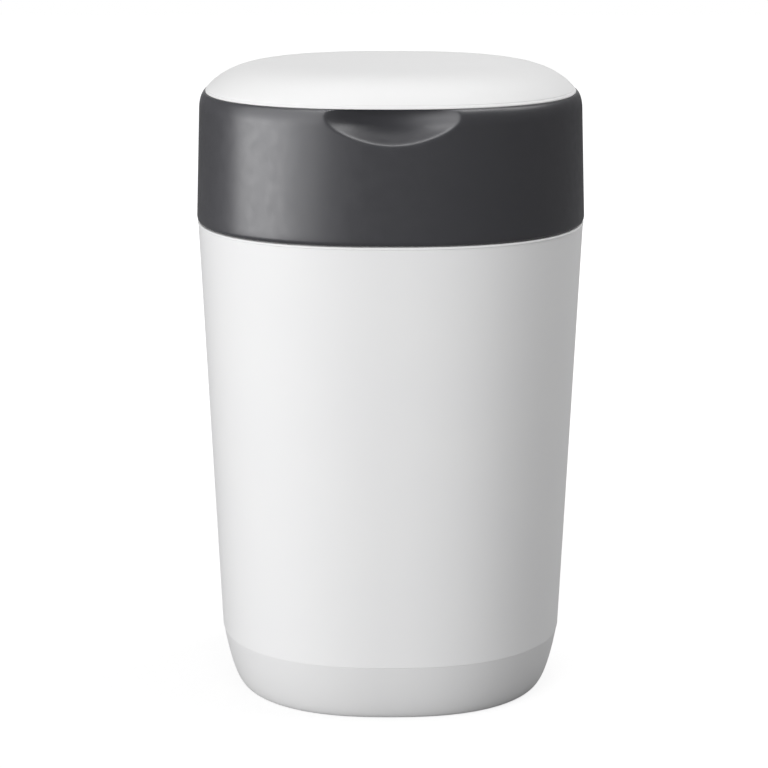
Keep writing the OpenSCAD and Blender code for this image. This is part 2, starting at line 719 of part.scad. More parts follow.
// Rib with round ends that runs out from the throat
module finger_rib(from_r, to_r) {
    half = 1.8;
    linear_extrude(finger_rib_h) {
        translate([from_r + half, -half]) square([to_r - from_r - 2 * half, 2 * half]);
        translate([from_r + half, 0]) circle(r = half, $fn = 24);
        translate([to_r - half, 0]) circle(r = half, $fn = 24);
    }
}

module cassette_tray() {
    w = cassette_wall;
    wall_top = cassette_top - 2;
    tube_top = cassette_top - 4;
    color(cassette_blue) rotate_extrude() polygon([[throat_r, cassette_z], [cassette_r, cassette_z],
        [cassette_r, wall_top], [cassette_r - w, wall_top], [cassette_r - w, cassette_z + w],
        [throat_r + w, cassette_z + w], [throat_r + w, tube_top], [throat_r, tube_top]]);
}

module cassette_cover() {
    lip_r = throat_r + cassette_wall + film_slit;
    color(cassette_blue) rotate_extrude() polygon([[lip_r, cassette_top - 8],
        [lip_r + cassette_wall, cassette_top - 8], [lip_r + cassette_wall, cassette_top - 2 + small],
        [cassette_r, cassette_top - 2 + small], [cassette_r, cassette_top - 0.5],
        [cassette_r - 0.5, cassette_top], [lip_r + 0.8, cassette_top], [lip_r, cassette_top - 0.8]]);
}

module film_pack() {
    inner = throat_r + cassette_wall + soft_clear;
    outer = cassette_r - cassette_wall - soft_clear;
    low = cassette_z + cassette_wall + soft_clear;
    color(white_plastic) rotate_extrude() polygon([[inner, low], [outer, low],
        [outer, cassette_top - 11], [outer - 2, cassette_top - 9], [inner + 2, cassette_top - 9],
        [inner, cassette_top - 11]]);
}

module cutter_slide() {
    carriage_h = 8;
    pad_t = 4;
    pad_w = 12;
    ridge_l = 10;
    ridge_w = 1.4;
    ridge_h = 0.8;
    ridge_pitch = 4;
    pad_z = rail_z - bearing_gap - pad_t;
    color(soft_grey) difference() {
        union() {
            translate([carriage_x, rail_y - channel_w / 2 + bearing_gap, carriage_z])
                cube([carriage_l, channel_w - 2 * bearing_gap, carriage_h]);
            translate([carriage_x + pad_t, rail_y - neck_w / 2, pad_z + pad_t / 2])
                cube([carriage_l - 2 * pad_t, neck_w, carriage_z - pad_z]);
            translate([carriage_x - 1, rail_y - pad_w / 2, pad_z]) cube([carriage_l + 2, pad_w, pad_t]);
            for (i = [0:3])
                translate([carriage_x + 1.5 + ridge_pitch * i, rail_y - ridge_l / 2, pad_z - ridge_h])
                    cube([ridge_w, ridge_l, 1]);
        }
        // Seat of the blade in the carriage
        translate([blade_x, rail_y - blade_t / 2 - 0.05, blade_z])
            cube([carriage_l, blade_t + 0.1, carriage_h]);
        translate([rivet_x, rail_y + channel_w, rivet_z]) rotate([90, 0, 0])
            cylinder(r = rivet_r + screw_clear, h = 2 * channel_w, $fn = 32);
    }
}

module cutter_blade() {
    seat_gap = 0.1;
    translate([blade_x + seat_gap, rail_y + blade_t / 2, blade_z + seat_gap]) rotate([90, 0, 0])
        color(steel) linear_extrude(blade_t) difference() {
            polygon([[0, 0], [11, 0], [16.5, 6.8], [0, 6.8]]);
            translate([rivet_x - blade_x - seat_gap, rivet_z - blade_z - seat_gap])
                circle(r = rivet_r + screw_clear, $fn = 32);
        }
}

module blade_rivet() {
    half = channel_w / 2 - bearing_gap - 0.1;
    color(steel) translate([rivet_x, rail_y + half, rivet_z]) rotate([90, 0, 0])
        cylinder(r = rivet_r, h = 2 * half, $fn = 32);
}

tub();
collar();
head_seal();
chassis();
chassis_screws();
hinge_block();
hinge_screws();
hinge_pin();
click_spring();
click_screw();
grip_fingers();
clamp_ring();
clamp_screws();
cutter_housing();
housing_screws();
lid_shell();
lid_liner();
lid_seal();
dial();
grip_ring();
cassette_tray();
cassette_cover();
film_pack();
cutter_slide();
cutter_blade();
blade_rivet();
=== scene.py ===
"""Nappy bin: a white tapered tub, a dark collar with a thumb recess and a white domed lid, with
the dial, film cassette and cutter inside. Lengths are in millimetres unless they say metres, and
meshes are turned to metres where they are made. +Z is up and the front faces -Y."""
import math

import bpy
import numpy as np
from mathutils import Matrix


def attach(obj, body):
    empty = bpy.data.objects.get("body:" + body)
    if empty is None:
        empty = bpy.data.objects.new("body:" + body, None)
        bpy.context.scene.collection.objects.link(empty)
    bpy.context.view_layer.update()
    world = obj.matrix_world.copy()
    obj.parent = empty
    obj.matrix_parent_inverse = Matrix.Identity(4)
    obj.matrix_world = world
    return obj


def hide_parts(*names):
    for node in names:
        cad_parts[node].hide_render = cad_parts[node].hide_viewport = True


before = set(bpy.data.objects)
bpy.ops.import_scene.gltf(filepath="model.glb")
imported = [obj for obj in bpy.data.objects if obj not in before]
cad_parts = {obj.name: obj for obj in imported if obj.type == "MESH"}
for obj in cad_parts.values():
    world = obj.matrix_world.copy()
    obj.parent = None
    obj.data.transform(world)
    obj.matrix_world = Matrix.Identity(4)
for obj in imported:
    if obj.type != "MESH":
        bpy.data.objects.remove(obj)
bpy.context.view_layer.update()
scene = bpy.context.scene

# Camera. It looks down at the bin with a long lens, as the photograph was taken, from slightly
# left of the front. A small turn puts the bin a little right of the middle. Distance and height
# are in metres, the angles in degrees.
CAMERA_DISTANCE = 1.640
CAMERA_HEIGHT = 0.5918
CAMERA_PITCH = 13.17
CAMERA_TURN = 0.156
CAMERA_ORBIT = 0.65
SENSOR_WIDTH = 36
FOCAL_LENGTH = 112.2

camera_data = bpy.data.cameras.new("camera")
camera_data.sensor_width = SENSOR_WIDTH
camera_data.lens = FOCAL_LENGTH
camera = bpy.data.objects.new("camera", camera_data)
orbit = math.radians(CAMERA_ORBIT)
camera.location = (-CAMERA_DISTANCE * math.sin(orbit), -CAMERA_DISTANCE * math.cos(orbit),
                   CAMERA_HEIGHT)
camera.rotation_euler = (math.radians(90 - CAMERA_PITCH), 0, math.radians(CAMERA_TURN - CAMERA_ORBIT))
scene.collection.objects.link(camera)
scene.camera = camera
scene.view_settings.view_transform = "Standard"


# Floor. A plain studio floor of matt white paper. The camera sees it glow white, with a part of
# its light and shade, so that a faint soft shadow stays under the bin. Gloss sees that white
# only behind the bin.
def linear(code):
    """Turns an sRGB hex colour such as "8A8C90" into linear red, green, blue and 1: c / 12.92 up
    to 0.04045, and ((c + 0.055) / 1.055)^2.4 above."""
    parts = np.array([int(code[i:i + 2], 16) for i in (0, 2, 4)]) / 255
    low, high = parts / 12.92, ((parts + 0.055) / 1.055) ** 2.4
    return (*np.where(parts <= 0.04045, low, high).tolist(), 1.0)


def add(tree, kind, settings, inputs):
    """Adds a node to a tree. Settings are its properties. Inputs are values, or outputs of other
    nodes to link, by the socket's name or number."""
    node = tree.nodes.new("ShaderNode" + kind)
    for key, value in settings.items():
        setattr(node, key, value)
    for key, value in inputs.items():
        if isinstance(value, bpy.types.NodeSocket):
            tree.links.new(value, node.inputs[key])
        else:
            node.inputs[key].default_value = value
    return node


def new_material(name):
    """An empty material: its tree, and the material."""
    material = bpy.data.materials.new(name)
    material.use_nodes = True
    material.node_tree.nodes.clear()
    return material.node_tree, material


# Sizes in metres. The glow grows from near to far between two distances from the bin's middle.
# Behind is how squarely a reflected ray must go back, as the cosine of its angle.
FLOOR_SIZE = 12.0
FLOOR_WHITE = "898989"
FLOOR_SHADE = 0.30
GLOW_NEAR = 0.78
GLOW_FAR = 1.0
GLOW_FROM = 0.3
GLOW_TO = 1.4
BEHIND = 0.985
BEHIND_BLEND = 0.02
PAPER_GRAIN = 0.025
PAPER_MOTTLE = 0.04


def seen_as_white(tree, along):
    """How much of a ray sees plain white: all of one from the camera or through film, and of a
    reflected one what reaches the part behind the bin. Along is the ray's share that goes back."""
    path = add(tree, "LightPath", {}, {})
    back = add(tree, "MapRange", {},
               {"Value": along, "From Min": BEHIND - BEHIND_BLEND, "From Max": BEHIND})
    mirrored = add(tree, "Math", {"operation": "MULTIPLY"},
                   {0: path.outputs["Is Glossy Ray"], 1: back.outputs["Result"]})
    direct = add(tree, "Math", {"operation": "MAXIMUM"},
                 {0: path.outputs["Is Camera Ray"], 1: path.outputs["Is Transmission Ray"]})
    either = add(tree, "Math", {"operation": "MAXIMUM"},
                 {0: mirrored.outputs[0], 1: direct.outputs[0]})
    return either.outputs[0]


tree, floor_paint = new_material("matt_studio_floor")
place = add(tree, "TexCoord", {}, {}).outputs["Object"]
away = add(tree, "VectorMath", {"operation": "NORMALIZE"}, {0: place})
away = add(tree, "SeparateXYZ", {}, {0: away.outputs["Vector"]})
seen = seen_as_white(tree, away.outputs["Y"])
paper = add(tree, "TexNoise", {}, {"Vector": place, "Scale": 1 / PAPER_GRAIN, "Detail": 3.0})
grey = add(tree, "MapRange", {}, {"Value": paper.outputs["Fac"], "To Min": 1 - PAPER_MOTTLE,
                                  "To Max": 1 + PAPER_MOTTLE})
tint = add(tree, "VectorMath", {"operation": "SCALE"},
           {0: linear(FLOOR_WHITE)[:3], "Scale": grey.outputs["Result"]})
lit = add(tree, "BsdfDiffuse", {}, {"Color": tint.outputs["Vector"]})
shaded = add(tree, "BsdfDiffuse", {}, {"Color": (FLOOR_SHADE,) * 3 + (1,)})
distance = add(tree, "VectorMath", {"operation": "LENGTH"}, {0: place})
bright = add(tree, "MapRange", {}, {"Value": distance.outputs["Value"], "From Min": GLOW_FROM,
                                    "From Max": GLOW_TO, "To Min": GLOW_NEAR, "To Max": GLOW_FAR})
glow = add(tree, "Emission", {}, {"Strength": bright.outputs["Result"]})
white = add(tree, "AddShader", {}, {0: shaded.outputs[0], 1: glow.outputs[0]})
mixed = add(tree, "MixShader", {}, {0: seen, 1: lit.outputs[0], 2: white.outputs[0]})
add(tree, "OutputMaterial", {}, {"Surface": mixed.outputs[0]})

corners = np.array([[-1, -1, 0], [1, -1, 0], [1, 1, 0], [-1, 1, 0]]) * FLOOR_SIZE / 2
floor_mesh = bpy.data.meshes.new("floor")
floor_mesh.from_pydata(corners.tolist(), [], [[0, 1, 2, 3]])
floor_mesh.materials.append(floor_paint)
floor = bpy.data.objects.new("floor", floor_mesh)
scene.collection.objects.link(floor)


# Light. A soft key light stands low at the front left, a weaker one hangs overhead, and two fills
# lift the lid's right slope. The panels show only as reflections in the dark satin plastic: they
# draw the highlight down the collar, the line along its shoulder and the edge of its recess.

# How bright the room is, how bright gloss sees it, and the height that the lamps point at
ROOM_LIGHT = 0.29
ROOM_MIRRORED = 0.16
AIM_HEIGHT = 0.22

# Name, degrees left of the front, degrees above level, metres from the middle of the bin, width
# and height in metres, and watts
LAMPS = (("key", 41, 13, 3.6, (2.8, 2.2), 122.0),
         ("overhead", 0, 115, 2.5, (1.4, 1.4), 12.5),
         ("right_fill", -80, 40, 3.0, (1.6, 1.6), 22.5),
         ("rear_fill", -120, 40, 3.0, (1.6, 1.6), 22.5))
PANELS = (("low_panel", 69, 0, 1.6, (1.3, 0.7), 16.5),
          ("panel", 59, 24, 1.6, (2.1, 2.6), 54.5),
          ("canopy", -95, 58, 2.2, (1.3, 1.5), 24.0),
          ("left_strip", 38, 70, 2.2, (0.8, 1.1), 17.0),
          ("right_strip", -40, 68, 2.2, (0.9, 1.1), 17.0))

world = bpy.data.worlds.new("studio")
world.use_nodes = True
scene.world = world
tree = world.node_tree
tree.nodes.clear()
towards = add(tree, "SeparateXYZ", {}, {0: add(tree, "TexCoord", {}, {}).outputs["Generated"]})
mirrored = add(tree, "LightPath", {}, {}).outputs["Is Glossy Ray"]
level = add(tree, "MapRange", {}, {"Value": mirrored, "To Min": ROOM_LIGHT, "To Max": ROOM_MIRRORED})
room = add(tree, "Background", {}, {"Color": (1, 1, 1, 1), "Strength": level.outputs["Result"]})
white = add(tree, "Background", {}, {"Color": (1, 1, 1, 1), "Strength": 1.0})
mixed = add(tree, "MixShader", {}, {0: seen_as_white(tree, towards.outputs["Y"]), 1: room.outputs[0],
                                    2: white.outputs[0]})
add(tree, "OutputWorld", {}, {"Surface": mixed.outputs[0]})


def soft_light(name, turn, rise, distance, size, watts):
    """A rectangular lamp that points at the middle of the bin."""
    lamp = bpy.data.lights.new(name, "AREA")
    lamp.shape = "RECTANGLE"
    lamp.size, lamp.size_y = size
    lamp.energy = watts
    lamp_object = bpy.data.objects.new(name, lamp)
    turn, rise = math.radians(turn), math.radians(rise)
    lamp_object.location = (-distance * math.sin(turn) * math.cos(rise),
                            -distance * math.cos(turn) * math.cos(rise),
                            AIM_HEIGHT + distance * math.sin(rise))
    lamp_object.rotation_euler = (math.pi / 2 - rise, 0, -turn)
    lamp_object.visible_camera = False
    scene.collection.objects.link(lamp_object)
    return lamp_object


# Of the lamps, only the one overhead shows in gloss. The panels light nothing by scattered light.
for lamp in LAMPS:
    soft_light(*lamp).visible_glossy = lamp[0] == "overhead"
satin_pieces = bpy.data.collections.new("satin_pieces")
for lamp in PANELS:
    panel = soft_light(*lamp)
    panel.visible_diffuse = False
    panel.light_linking.receiver_collection = satin_pieces


# Tub. The tapered bucket that everything stands on, injection moulded in white polypropylene
# with a spark-eroded satin face. It has a beaded lip, a crease above its rounded base, and a
# foot ring. The collar sits over its upper rim.
SQUARENESS = 2.4
SHARP_ANGLE = 40

# How far beyond a fillet its extra points stand, as a share of its radius
FLAT_LEAD = 0.4


def plan(half, angles, squareness=SQUARENESS):
    """Rounded plan outline |x/half|^n + |y/half|^n = 1 at each polar angle, for each half width:
    the radius is half / (|cos|^n + |sin|^n)^(1/n). A squareness n of 2 gives circles."""
    c, s = np.cos(angles), np.sin(angles)
    reach = (abs(c) ** squareness + abs(s) ** squareness) ** (1 / squareness)
    radius = np.asarray(half)[:, None] / reach
    return radius * c, radius * s


def rounded(corners, closed=True, steps=7):
    """Profile through (half width, height, fillet) corners. Each corner becomes an arc round a
    centre at fillet / sin(half the corner's angle) along its bisector, with one more point on
    each side that keeps the flats' shading flat."""
    c = np.array(corners, float)
    p, r = c[:, :2], c[:, 2]
    back, ahead = np.roll(p, 1, 0) - p, np.roll(p, -1, 0) - p
    back /= np.maximum(np.linalg.norm(back, axis=1), 1e-9)[:, None]
    ahead /= np.maximum(np.linalg.norm(ahead, axis=1), 1e-9)[:, None]
    half = np.arccos(np.clip((back * ahead).sum(1), -0.9999, 0.9999)) / 2
    middle = (back + ahead) / np.maximum(np.linalg.norm(back + ahead, axis=1), 1e-9)[:, None]
    centre = p + middle * (r / np.sin(half))[:, None]
    reach = (r / np.tan(half))[:, None]
    start, end = p + back * reach - centre, p + ahead * reach - centre
    spread = (np.pi - 2 * half)[:, None]
    t = np.linspace(0, 1, steps)
    a, b = np.sin(spread * (1 - t)) / np.sin(spread), np.sin(spread * t) / np.sin(spread)
    arcs = centre[:, None] + a[..., None] * start[:, None] + b[..., None] * end[:, None]
    lead = arcs[:, :1] + (back * FLAT_LEAD * r[:, None])[:, None]
    trail = arcs[:, -1:] + (ahead * FLAT_LEAD * r[:, None])[:, None]
    arcs = np.concatenate([lead, arcs, trail], axis=1)
    if not closed:
        arcs[0], arcs[-1] = p[0], p[-1]
    points = arcs.reshape(-1, 2)
    apart = np.linalg.norm(points - np.roll(points, 1, 0), axis=1) > 1e-5
    apart[0] = True
    return points[apart]


def carried(profile, count, squareness=SQUARENESS):
    """Grid of points of a (half width, height) profile carried round the plan outline: each of its
    half widths draws one outline, at its own height."""
    profile = np.asarray(profile)
    angles = np.arange(count) / count * 2 * np.pi
    x, y = plan(profile[:, 0], angles, squareness)
    return np.stack([x, y, np.broadcast_to(profile[:, 1:], x.shape)], axis=2)


def piece(name, material, grids):
    """One object from closed grids of points, each (rows, columns, 3). Columns close on
    themselves. Rows do too, unless the first and last are single points, which become poles.
    A grid whose signed volume is below zero is turned the right way round."""
    points, faces, start = [], [], 0
    for grid in grids:
        rows, columns = grid.shape[:2]
        poles = np.ptp(grid[[0, -1]], axis=1).max() < 1e-6
        flat = grid.reshape(-1, 3)
        index = np.arange(rows * columns).reshape(rows, columns)
        beside = np.roll(index, -1, 1)
        if poles:
            flat = np.concatenate([grid[0, :1], grid[1:-1].reshape(-1, 3), grid[-1, :1]])
            index = 1 + np.arange((rows - 2) * columns).reshape(rows - 2, columns)
            beside = np.roll(index, -1, 1)
            up, up_beside, low, low_beside = index[1:], beside[1:], index[:-1], beside[:-1]
            first = np.stack([0 * index[0], beside[0], index[0]], 1)
            last = np.stack([0 * index[0] + len(flat) - 1, index[-1], beside[-1]], 1)
        else:
            low, low_beside = index, beside
            up, up_beside = np.roll(index, -1, 0), np.roll(beside, -1, 0)
            first = last = np.zeros((0, 3), int)
        quads = np.stack([low, low_beside, up_beside, up], 2).reshape(-1, 4)
        triangles = np.concatenate([quads[:, :3], quads[:, [0, 2, 3]], first, last])
        a, b, c = (flat[triangles[:, i]] for i in range(3))
        outward = (a * np.cross(b, c)).sum() > 0
        for part in (quads, first, last):
            faces += ((part if outward else part[:, ::-1]) + start).tolist()
        points.append(flat)
        start += len(flat)
    mesh = bpy.data.meshes.new(name)
    mesh.from_pydata((np.concatenate(points) / 1000).tolist(), [], faces)
    mesh.shade_smooth()
    mesh.set_sharp_from_angle(angle=math.radians(SHARP_ANGLE))
    mesh.materials.append(material)
    result = bpy.data.objects.new(name, mesh)
    scene.collection.objects.link(result)
    return result


# Moulded plastic, in millimetres: how broadly its colour drifts, the size of its patches of gloss,
# and how far their roughness departs
MELT_DRIFT = 55
GLOSS_PATCH = 7
GLOSS_SPREAD = 0.035


def moulding(name, shade, tone, rough, grain, grain_depth, **finish):
    """Moulded plastic. The grain is the texture of the mould, in millimetres, with its depth. A
    broad drift of colour and of gloss comes from how the melt flowed and cooled."""
    tree, material = new_material(name)
    place = add(tree, "TexCoord", {}, {}).outputs["Object"]
    drift = add(tree, "TexNoise", {}, {"Vector": place, "Scale": 1000 / MELT_DRIFT, "Detail": 3.0})
    colour = add(tree, "Mix", {"data_type": "RGBA"},
                 {0: drift.outputs["Fac"], 6: linear(shade), 7: linear(tone)})
    patches = add(tree, "TexNoise", {}, {"Vector": place, "Scale": 1000 / GLOSS_PATCH, "Detail": 4.0})
    gloss = add(tree, "MapRange", {},
                {"Value": patches.outputs["Fac"], "From Min": 0.3, "From Max": 0.7,
                 "To Min": rough - GLOSS_SPREAD, "To Max": rough + GLOSS_SPREAD})
    waves = add(tree, "Bump", {},
                {"Strength": 0.35, "Distance": 0.00012, "Height": drift.outputs["Fac"]})
    texture = add(tree, "TexNoise", {}, {"Vector": place, "Scale": 1000 / grain, "Detail": 2.0})
    pits = add(tree, "Bump", {}, {"Strength": 0.5, "Distance": grain_depth / 1000,
                                  "Height": texture.outputs["Fac"], "Normal": waves.outputs["Normal"]})
    paint = add(tree, "BsdfPrincipled", {},
                {"Base Color": colour.outputs[2], "Roughness": gloss.outputs["Result"],
                 "Normal": pits.outputs["Normal"], **finish})
    add(tree, "OutputMaterial", {}, {"Surface": paint.outputs[0]})
    return material


# White polypropylene: a satin white that scatters most of the light, with little gloss. The
# spark-eroded grain is 0.4 mm on the real tub and is drawn at 0.8 mm, so that it just shows.
white_polypropylene = moulding("white_polypropylene", "EEEEEE", "EBEBEC", 0.56, 0.8, 0.012,
                               IOR=1.49)

# The same plastic below the crease, painted a shade greyer. The grey is painted shade: the rounded
# base turns down, away from the light.
base_painted_shade_polypropylene = moulding("base_painted_shade_polypropylene", "E9E9E9", "E6E6E7", 0.56, 0.8, 0.012, IOR=1.49)

TUB_HEIGHT = 328.3
TUB_HALF = 132.5
TUB_WALL = 2.5
LIP_STEP = 0.35
LIP_SLOPE = 0.2
LIP_BOTTOM = TUB_HEIGHT - 1.5
CREASE_HEIGHT = 39.6
CREASE_HALF = 119.4
CREASE_STEP = 0.25
CREASE_FROM = CREASE_HEIGHT + 0.1
CREASE_TO = CREASE_HEIGHT + 0.35
FOOT_HALF = 105.4
FOOT_EDGE = 1.0
FOOT_RING = 11.0
FOOT_RECESS = 2.5
FOOT_SLOPE = 2.0
BASE_FULLNESS = 2.4
BASE_SLANT = 0.5
RIM_HALF = 129.2
RIM_WALL = 2.6
RIM_TOP = TUB_HEIGHT + 20.7
RIM_ROOT = TUB_HEIGHT - 3.0
WALL_TOP = TUB_HEIGHT - 7.0
WALL_FOOT = CREASE_HEIGHT + 1.0
TUB_SIDES = 288


def base_curve(half, foot, top, bottom, count):
    """Rounded base from its foot up to the crease, where d is the way down from the crease and
    n the fullness: it draws in by slant d + (1 - slant) (1 - (1 - d^n)^(1/n)) of the whole. The
    slant makes the crease a bend in the wall."""
    down = np.sin(np.linspace(np.pi / 2, 0, count))
    under = 1 - (1 - down ** BASE_FULLNESS).clip(0) ** (1 / BASE_FULLNESS)
    drawn = BASE_SLANT * down + (1 - BASE_SLANT) * under
    return np.stack([half - (half - foot) * drawn, top - (top - bottom) * down], 1)


foot_in = FOOT_HALF - FOOT_RING
floor_top = FOOT_RECESS + TUB_WALL
base_half = CREASE_HALF - CREASE_STEP
rim_in = RIM_HALF - RIM_WALL
tub_profile = np.concatenate([
    rounded([(0, FOOT_RECESS, 0), (foot_in - FOOT_SLOPE, FOOT_RECESS, 1.2), (foot_in, 0, 0.6),
             (FOOT_HALF - FOOT_EDGE, 0, 0)], closed=False),
    base_curve(base_half, FOOT_HALF, CREASE_HEIGHT, 0, 48)[1:],
    rounded([(base_half, CREASE_FROM, 0), (CREASE_HALF, CREASE_TO, 0.15),
             (TUB_HALF - LIP_STEP, LIP_BOTTOM - LIP_SLOPE, 0.2), (TUB_HALF, LIP_BOTTOM, 0.2),
             (TUB_HALF, TUB_HEIGHT, 0.8), (RIM_HALF, TUB_HEIGHT, 0.5), (RIM_HALF, RIM_TOP, 0.8),
             (rim_in, RIM_TOP, 0.8), (rim_in, RIM_ROOT, 2), (TUB_HALF - TUB_WALL, WALL_TOP, 2),
             (CREASE_HALF - TUB_WALL, WALL_FOOT, 0)], closed=False),
    base_curve(CREASE_HALF - TUB_WALL, FOOT_HALF - TUB_WALL, CREASE_HEIGHT, floor_top, 30)[::-1][1:],
    [[0, floor_top]]])
tub = piece("tub_moulding", white_polypropylene, [carried(tub_profile, TUB_SIDES)])
tub.data.materials.append(base_painted_shade_polypropylene)
# Faces below the crease take the greyer material, the painted shade of the base.
for face in tub.data.polygons:
    face.material_index = int(face.center.z * 1000 < CREASE_FROM)
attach(tub, "tub")
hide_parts("tub")


# Collar. The dark skirt of the head, moulded in grey polypropylene with a satin face. It hangs
# over the tub's rim. A thumb recess at the front lets the lid be lifted, a notch at the back
# takes the hinge block, and six bosses under its top flange take the chassis screws.

# Dark grey polypropylene: a satin face on which lamps draw broad soft bands. Its grain is 0.3 mm
# on the real collar and is drawn at 0.7 mm, so that it just shows.
dark_polypropylene = moulding("dark_polypropylene", "3B3B3E", "38383C", 0.36, 0.7, 0.010, IOR=1.49)

COLLAR_BOTTOM = TUB_HEIGHT + 0.5
COLLAR_TOP = COLLAR_BOTTOM + 86.8
COLLAR_HALF = 133.0
COLLAR_TAPER = 2.6
COLLAR_WALL = 3.0
EDGE_ROUND = 3.0
EDGE_IN = 2.0
EDGE_INNER = 0.3
SHOULDER_RISE = 12.0
SHOULDER_IN = 4.2
SHOULDER_BOTTOM = COLLAR_TOP - SHOULDER_RISE
SHOULDER_HALF = COLLAR_HALF - COLLAR_TAPER
FLANGE = 3.0
OPENING = 109.0
INNER_RIB_BOTTOM = RIM_TOP + 1.9
INNER_RIB_TOP = INNER_RIB_BOTTOM + 2.0
INNER_RIB_HALF = RIM_HALF - RIM_WALL - 0.4
RECESS_HALF_W = 43.3
RECESS_HALF_H = 18.1
RECESS_DEPTH = 15.0
RECESS_TAPER = 0.23
RECESS_TAPER_TO = 1.1
RECESS_Z = COLLAR_TOP - 4.2
RECESS_SOFTNESS = 0.6
SHOULDER_FADE = 3.0
TOP_FADE = 8.0
TOP_FILLET = 0.6
NOTCH_HALF = 39.1
NOTCH_Y = 118.2
NOTCH_Z = COLLAR_TOP - 8.8
CUT_PAST = 7.0
BOSS_RING = 113.0
BOSS_ANGLES = (-40, 10, 56, 124, 170, 220)
BOSS_RADIUS = 3.8
BOSS_BOTTOM = COLLAR_TOP - 8.6
BOSS_TOP = COLLAR_TOP - 1.0
SCREW_HOLE = 1.5


def collar_face(z):
    """Half width of the collar's face at a height. It leans in evenly up to the shoulder, which
    is a quarter ellipse."""
    lean = COLLAR_HALF - COLLAR_TAPER * (z - COLLAR_BOTTOM) / (SHOULDER_BOTTOM - COLLAR_BOTTOM)
    rise = np.clip((z - SHOULDER_BOTTOM) / SHOULDER_RISE, 0, 1)
    shoulder = SHOULDER_HALF - SHOULDER_IN * (1 - np.sqrt(1 - rise ** 2))
    return np.where(z < SHOULDER_BOTTOM, lean, shoulder)


MOUTH_REPEATS = 12


def mouth_rise(x, grow, spread):
    """Height of the recess's outline, grown by so much, above or below its middle. The outline is
    an ellipse u^2 + v^2 = 1 that narrows by 1 - taper v^2, so v^2 is found by repeating
    v^2 = 1 - (u / (1 - taper v^2))^2. It is never less than spread, which keeps rows apart."""
    wide = (x / (RECESS_HALF_W + grow)) ** 2
    high = np.clip(1 - wide, 0, 1)
    for _ in range(MOUTH_REPEATS):
        high = np.clip(1 - wide / (1 - RECESS_TAPER * high) ** 2, 0, 1)
    return np.sqrt((RECESS_HALF_H + grow) ** 2 * high + spread ** 2)


def recess_push(x, z, front, wall):
    """How far the face is pushed in at a point: depth times (1 - r^2), where r is 1 on the
    outline, less what the shoulder has drawn in already. The distance t inside the edge is
    softened to w ln(1 + e^(t/w)), which rounds the edge over a few times w. The edge against the
    collar's top is a quarter circle. Both the shoulder's share and that circle fade in with the
    hollow, by 1 - e^(-fade hollow)."""
    high = RECESS_HALF_H + wall
    v = (z - RECESS_Z) / high
    narrow = 1 - RECESS_TAPER * v.clip(-RECESS_TAPER_TO, RECESS_TAPER_TO) ** 2
    u = x / (RECESS_HALF_W + wall) / narrow
    reach = np.maximum(np.hypot(u, v), 1e-6)
    fall_x = u / (RECESS_HALF_W + wall) / narrow
    fall_z = v * (1 + 2 * RECESS_TAPER * u ** 2 / narrow) / high
    steep = np.maximum(np.hypot(fall_x, fall_z) / reach, 1e-3)
    within = (1 - reach) / steep
    soft = RECESS_SOFTNESS * np.logaddexp(0, within / RECESS_SOFTNESS)
    hollow = np.where(within > 0, 1 - reach ** 2 + 2 * steep * (soft - within), 2 * steep * soft)
    sunk = np.clip(SHOULDER_HALF - collar_face(z), 0, None) * front
    sunk *= 1 - np.exp(-SHOULDER_FADE * hollow)
    left = np.clip(COLLAR_TOP - z, 0, TOP_FILLET)
    top = TOP_FILLET - np.sqrt(TOP_FILLET ** 2 - (TOP_FILLET - left) ** 2)
    push = RECESS_DEPTH * hollow - sunk
    if not wall:
        push += top * (1 - np.exp(-TOP_FADE * hollow))
    return np.where(front > 0, push.clip(0), 0)


def collar_rows(z, wall=0.0):
    """Points of the collar's outer face at heights for each column, or of its inner face at the
    wall's thickness: the plan outline at the face's half width, pushed back at the recess."""
    half = collar_face(z) - wall
    x = half * collar_x
    return np.stack([x, half * collar_y + recess_push(x, z, -collar_y, wall), z], 2)


def flat_rows(halves, heights):
    """Rows of the plan outline at given half widths and heights."""
    halves, heights = np.array(halves)[:, None], np.array(heights)[:, None]
    return np.stack([halves * collar_x, halves * collar_y, heights + 0 * collar_x], 2)


def circle_rows(radii, heights):
    """Rows of circles in the directions of the collar's columns."""
    size = np.hypot(collar_x, collar_y)
    radii, heights = np.array(radii)[:, None], np.array(heights)[:, None]
    return np.stack([radii * collar_x / size, radii * collar_y / size, heights + 0 * collar_x], 2)


# Distances outside the recess's edge at which columns and rows stand, close where it is rounded.
# At the recess's ends the rows stay apart by a spread that grows with each step, and under the
# collar's top by at least a little.
EDGE_STEPS = np.array([2.4, 1.7, 1.2, 0.85, 0.6, 0.4, 0.2, 0, -0.2, -0.4, -0.65, -1, -1.5])
EDGE_BEYOND = np.array([3.4, 5.0, 7.2])
EDGE_WITHIN = 2.0
ROW_SPREAD = 0.55
ROW_GROWTH = 0.25
ROW_LEAST = 0.01
INNER_SPREAD = 0.3
ROUND_COLUMNS = 192

across = np.concatenate([(RECESS_HALF_W - EDGE_WITHIN) * np.sin(np.linspace(0, np.pi / 2, 30)),
                         RECESS_HALF_W + EDGE_STEPS[::-1], RECESS_HALF_W + EDGE_BEYOND])
across = np.concatenate([-across[:0:-1], across]) / SHOULDER_HALF
front_angles = np.arctan2(-(1 - abs(across) ** SQUARENESS) ** (1 / SQUARENESS), across)
round_angles = np.linspace(front_angles[-1], front_angles[0] + 2 * np.pi, ROUND_COLUMNS)[1:-1]
collar_x, collar_y = plan([1], np.concatenate([front_angles, round_angles]))
mouth_x = np.where(collar_y < 0, SHOULDER_HALF * collar_x, SHOULDER_HALF)


def spaced(low, high, steps):
    """Rows of heights between two rows, at the given shares of the way."""
    return low + (high - low) * np.asarray(steps)[:, None]


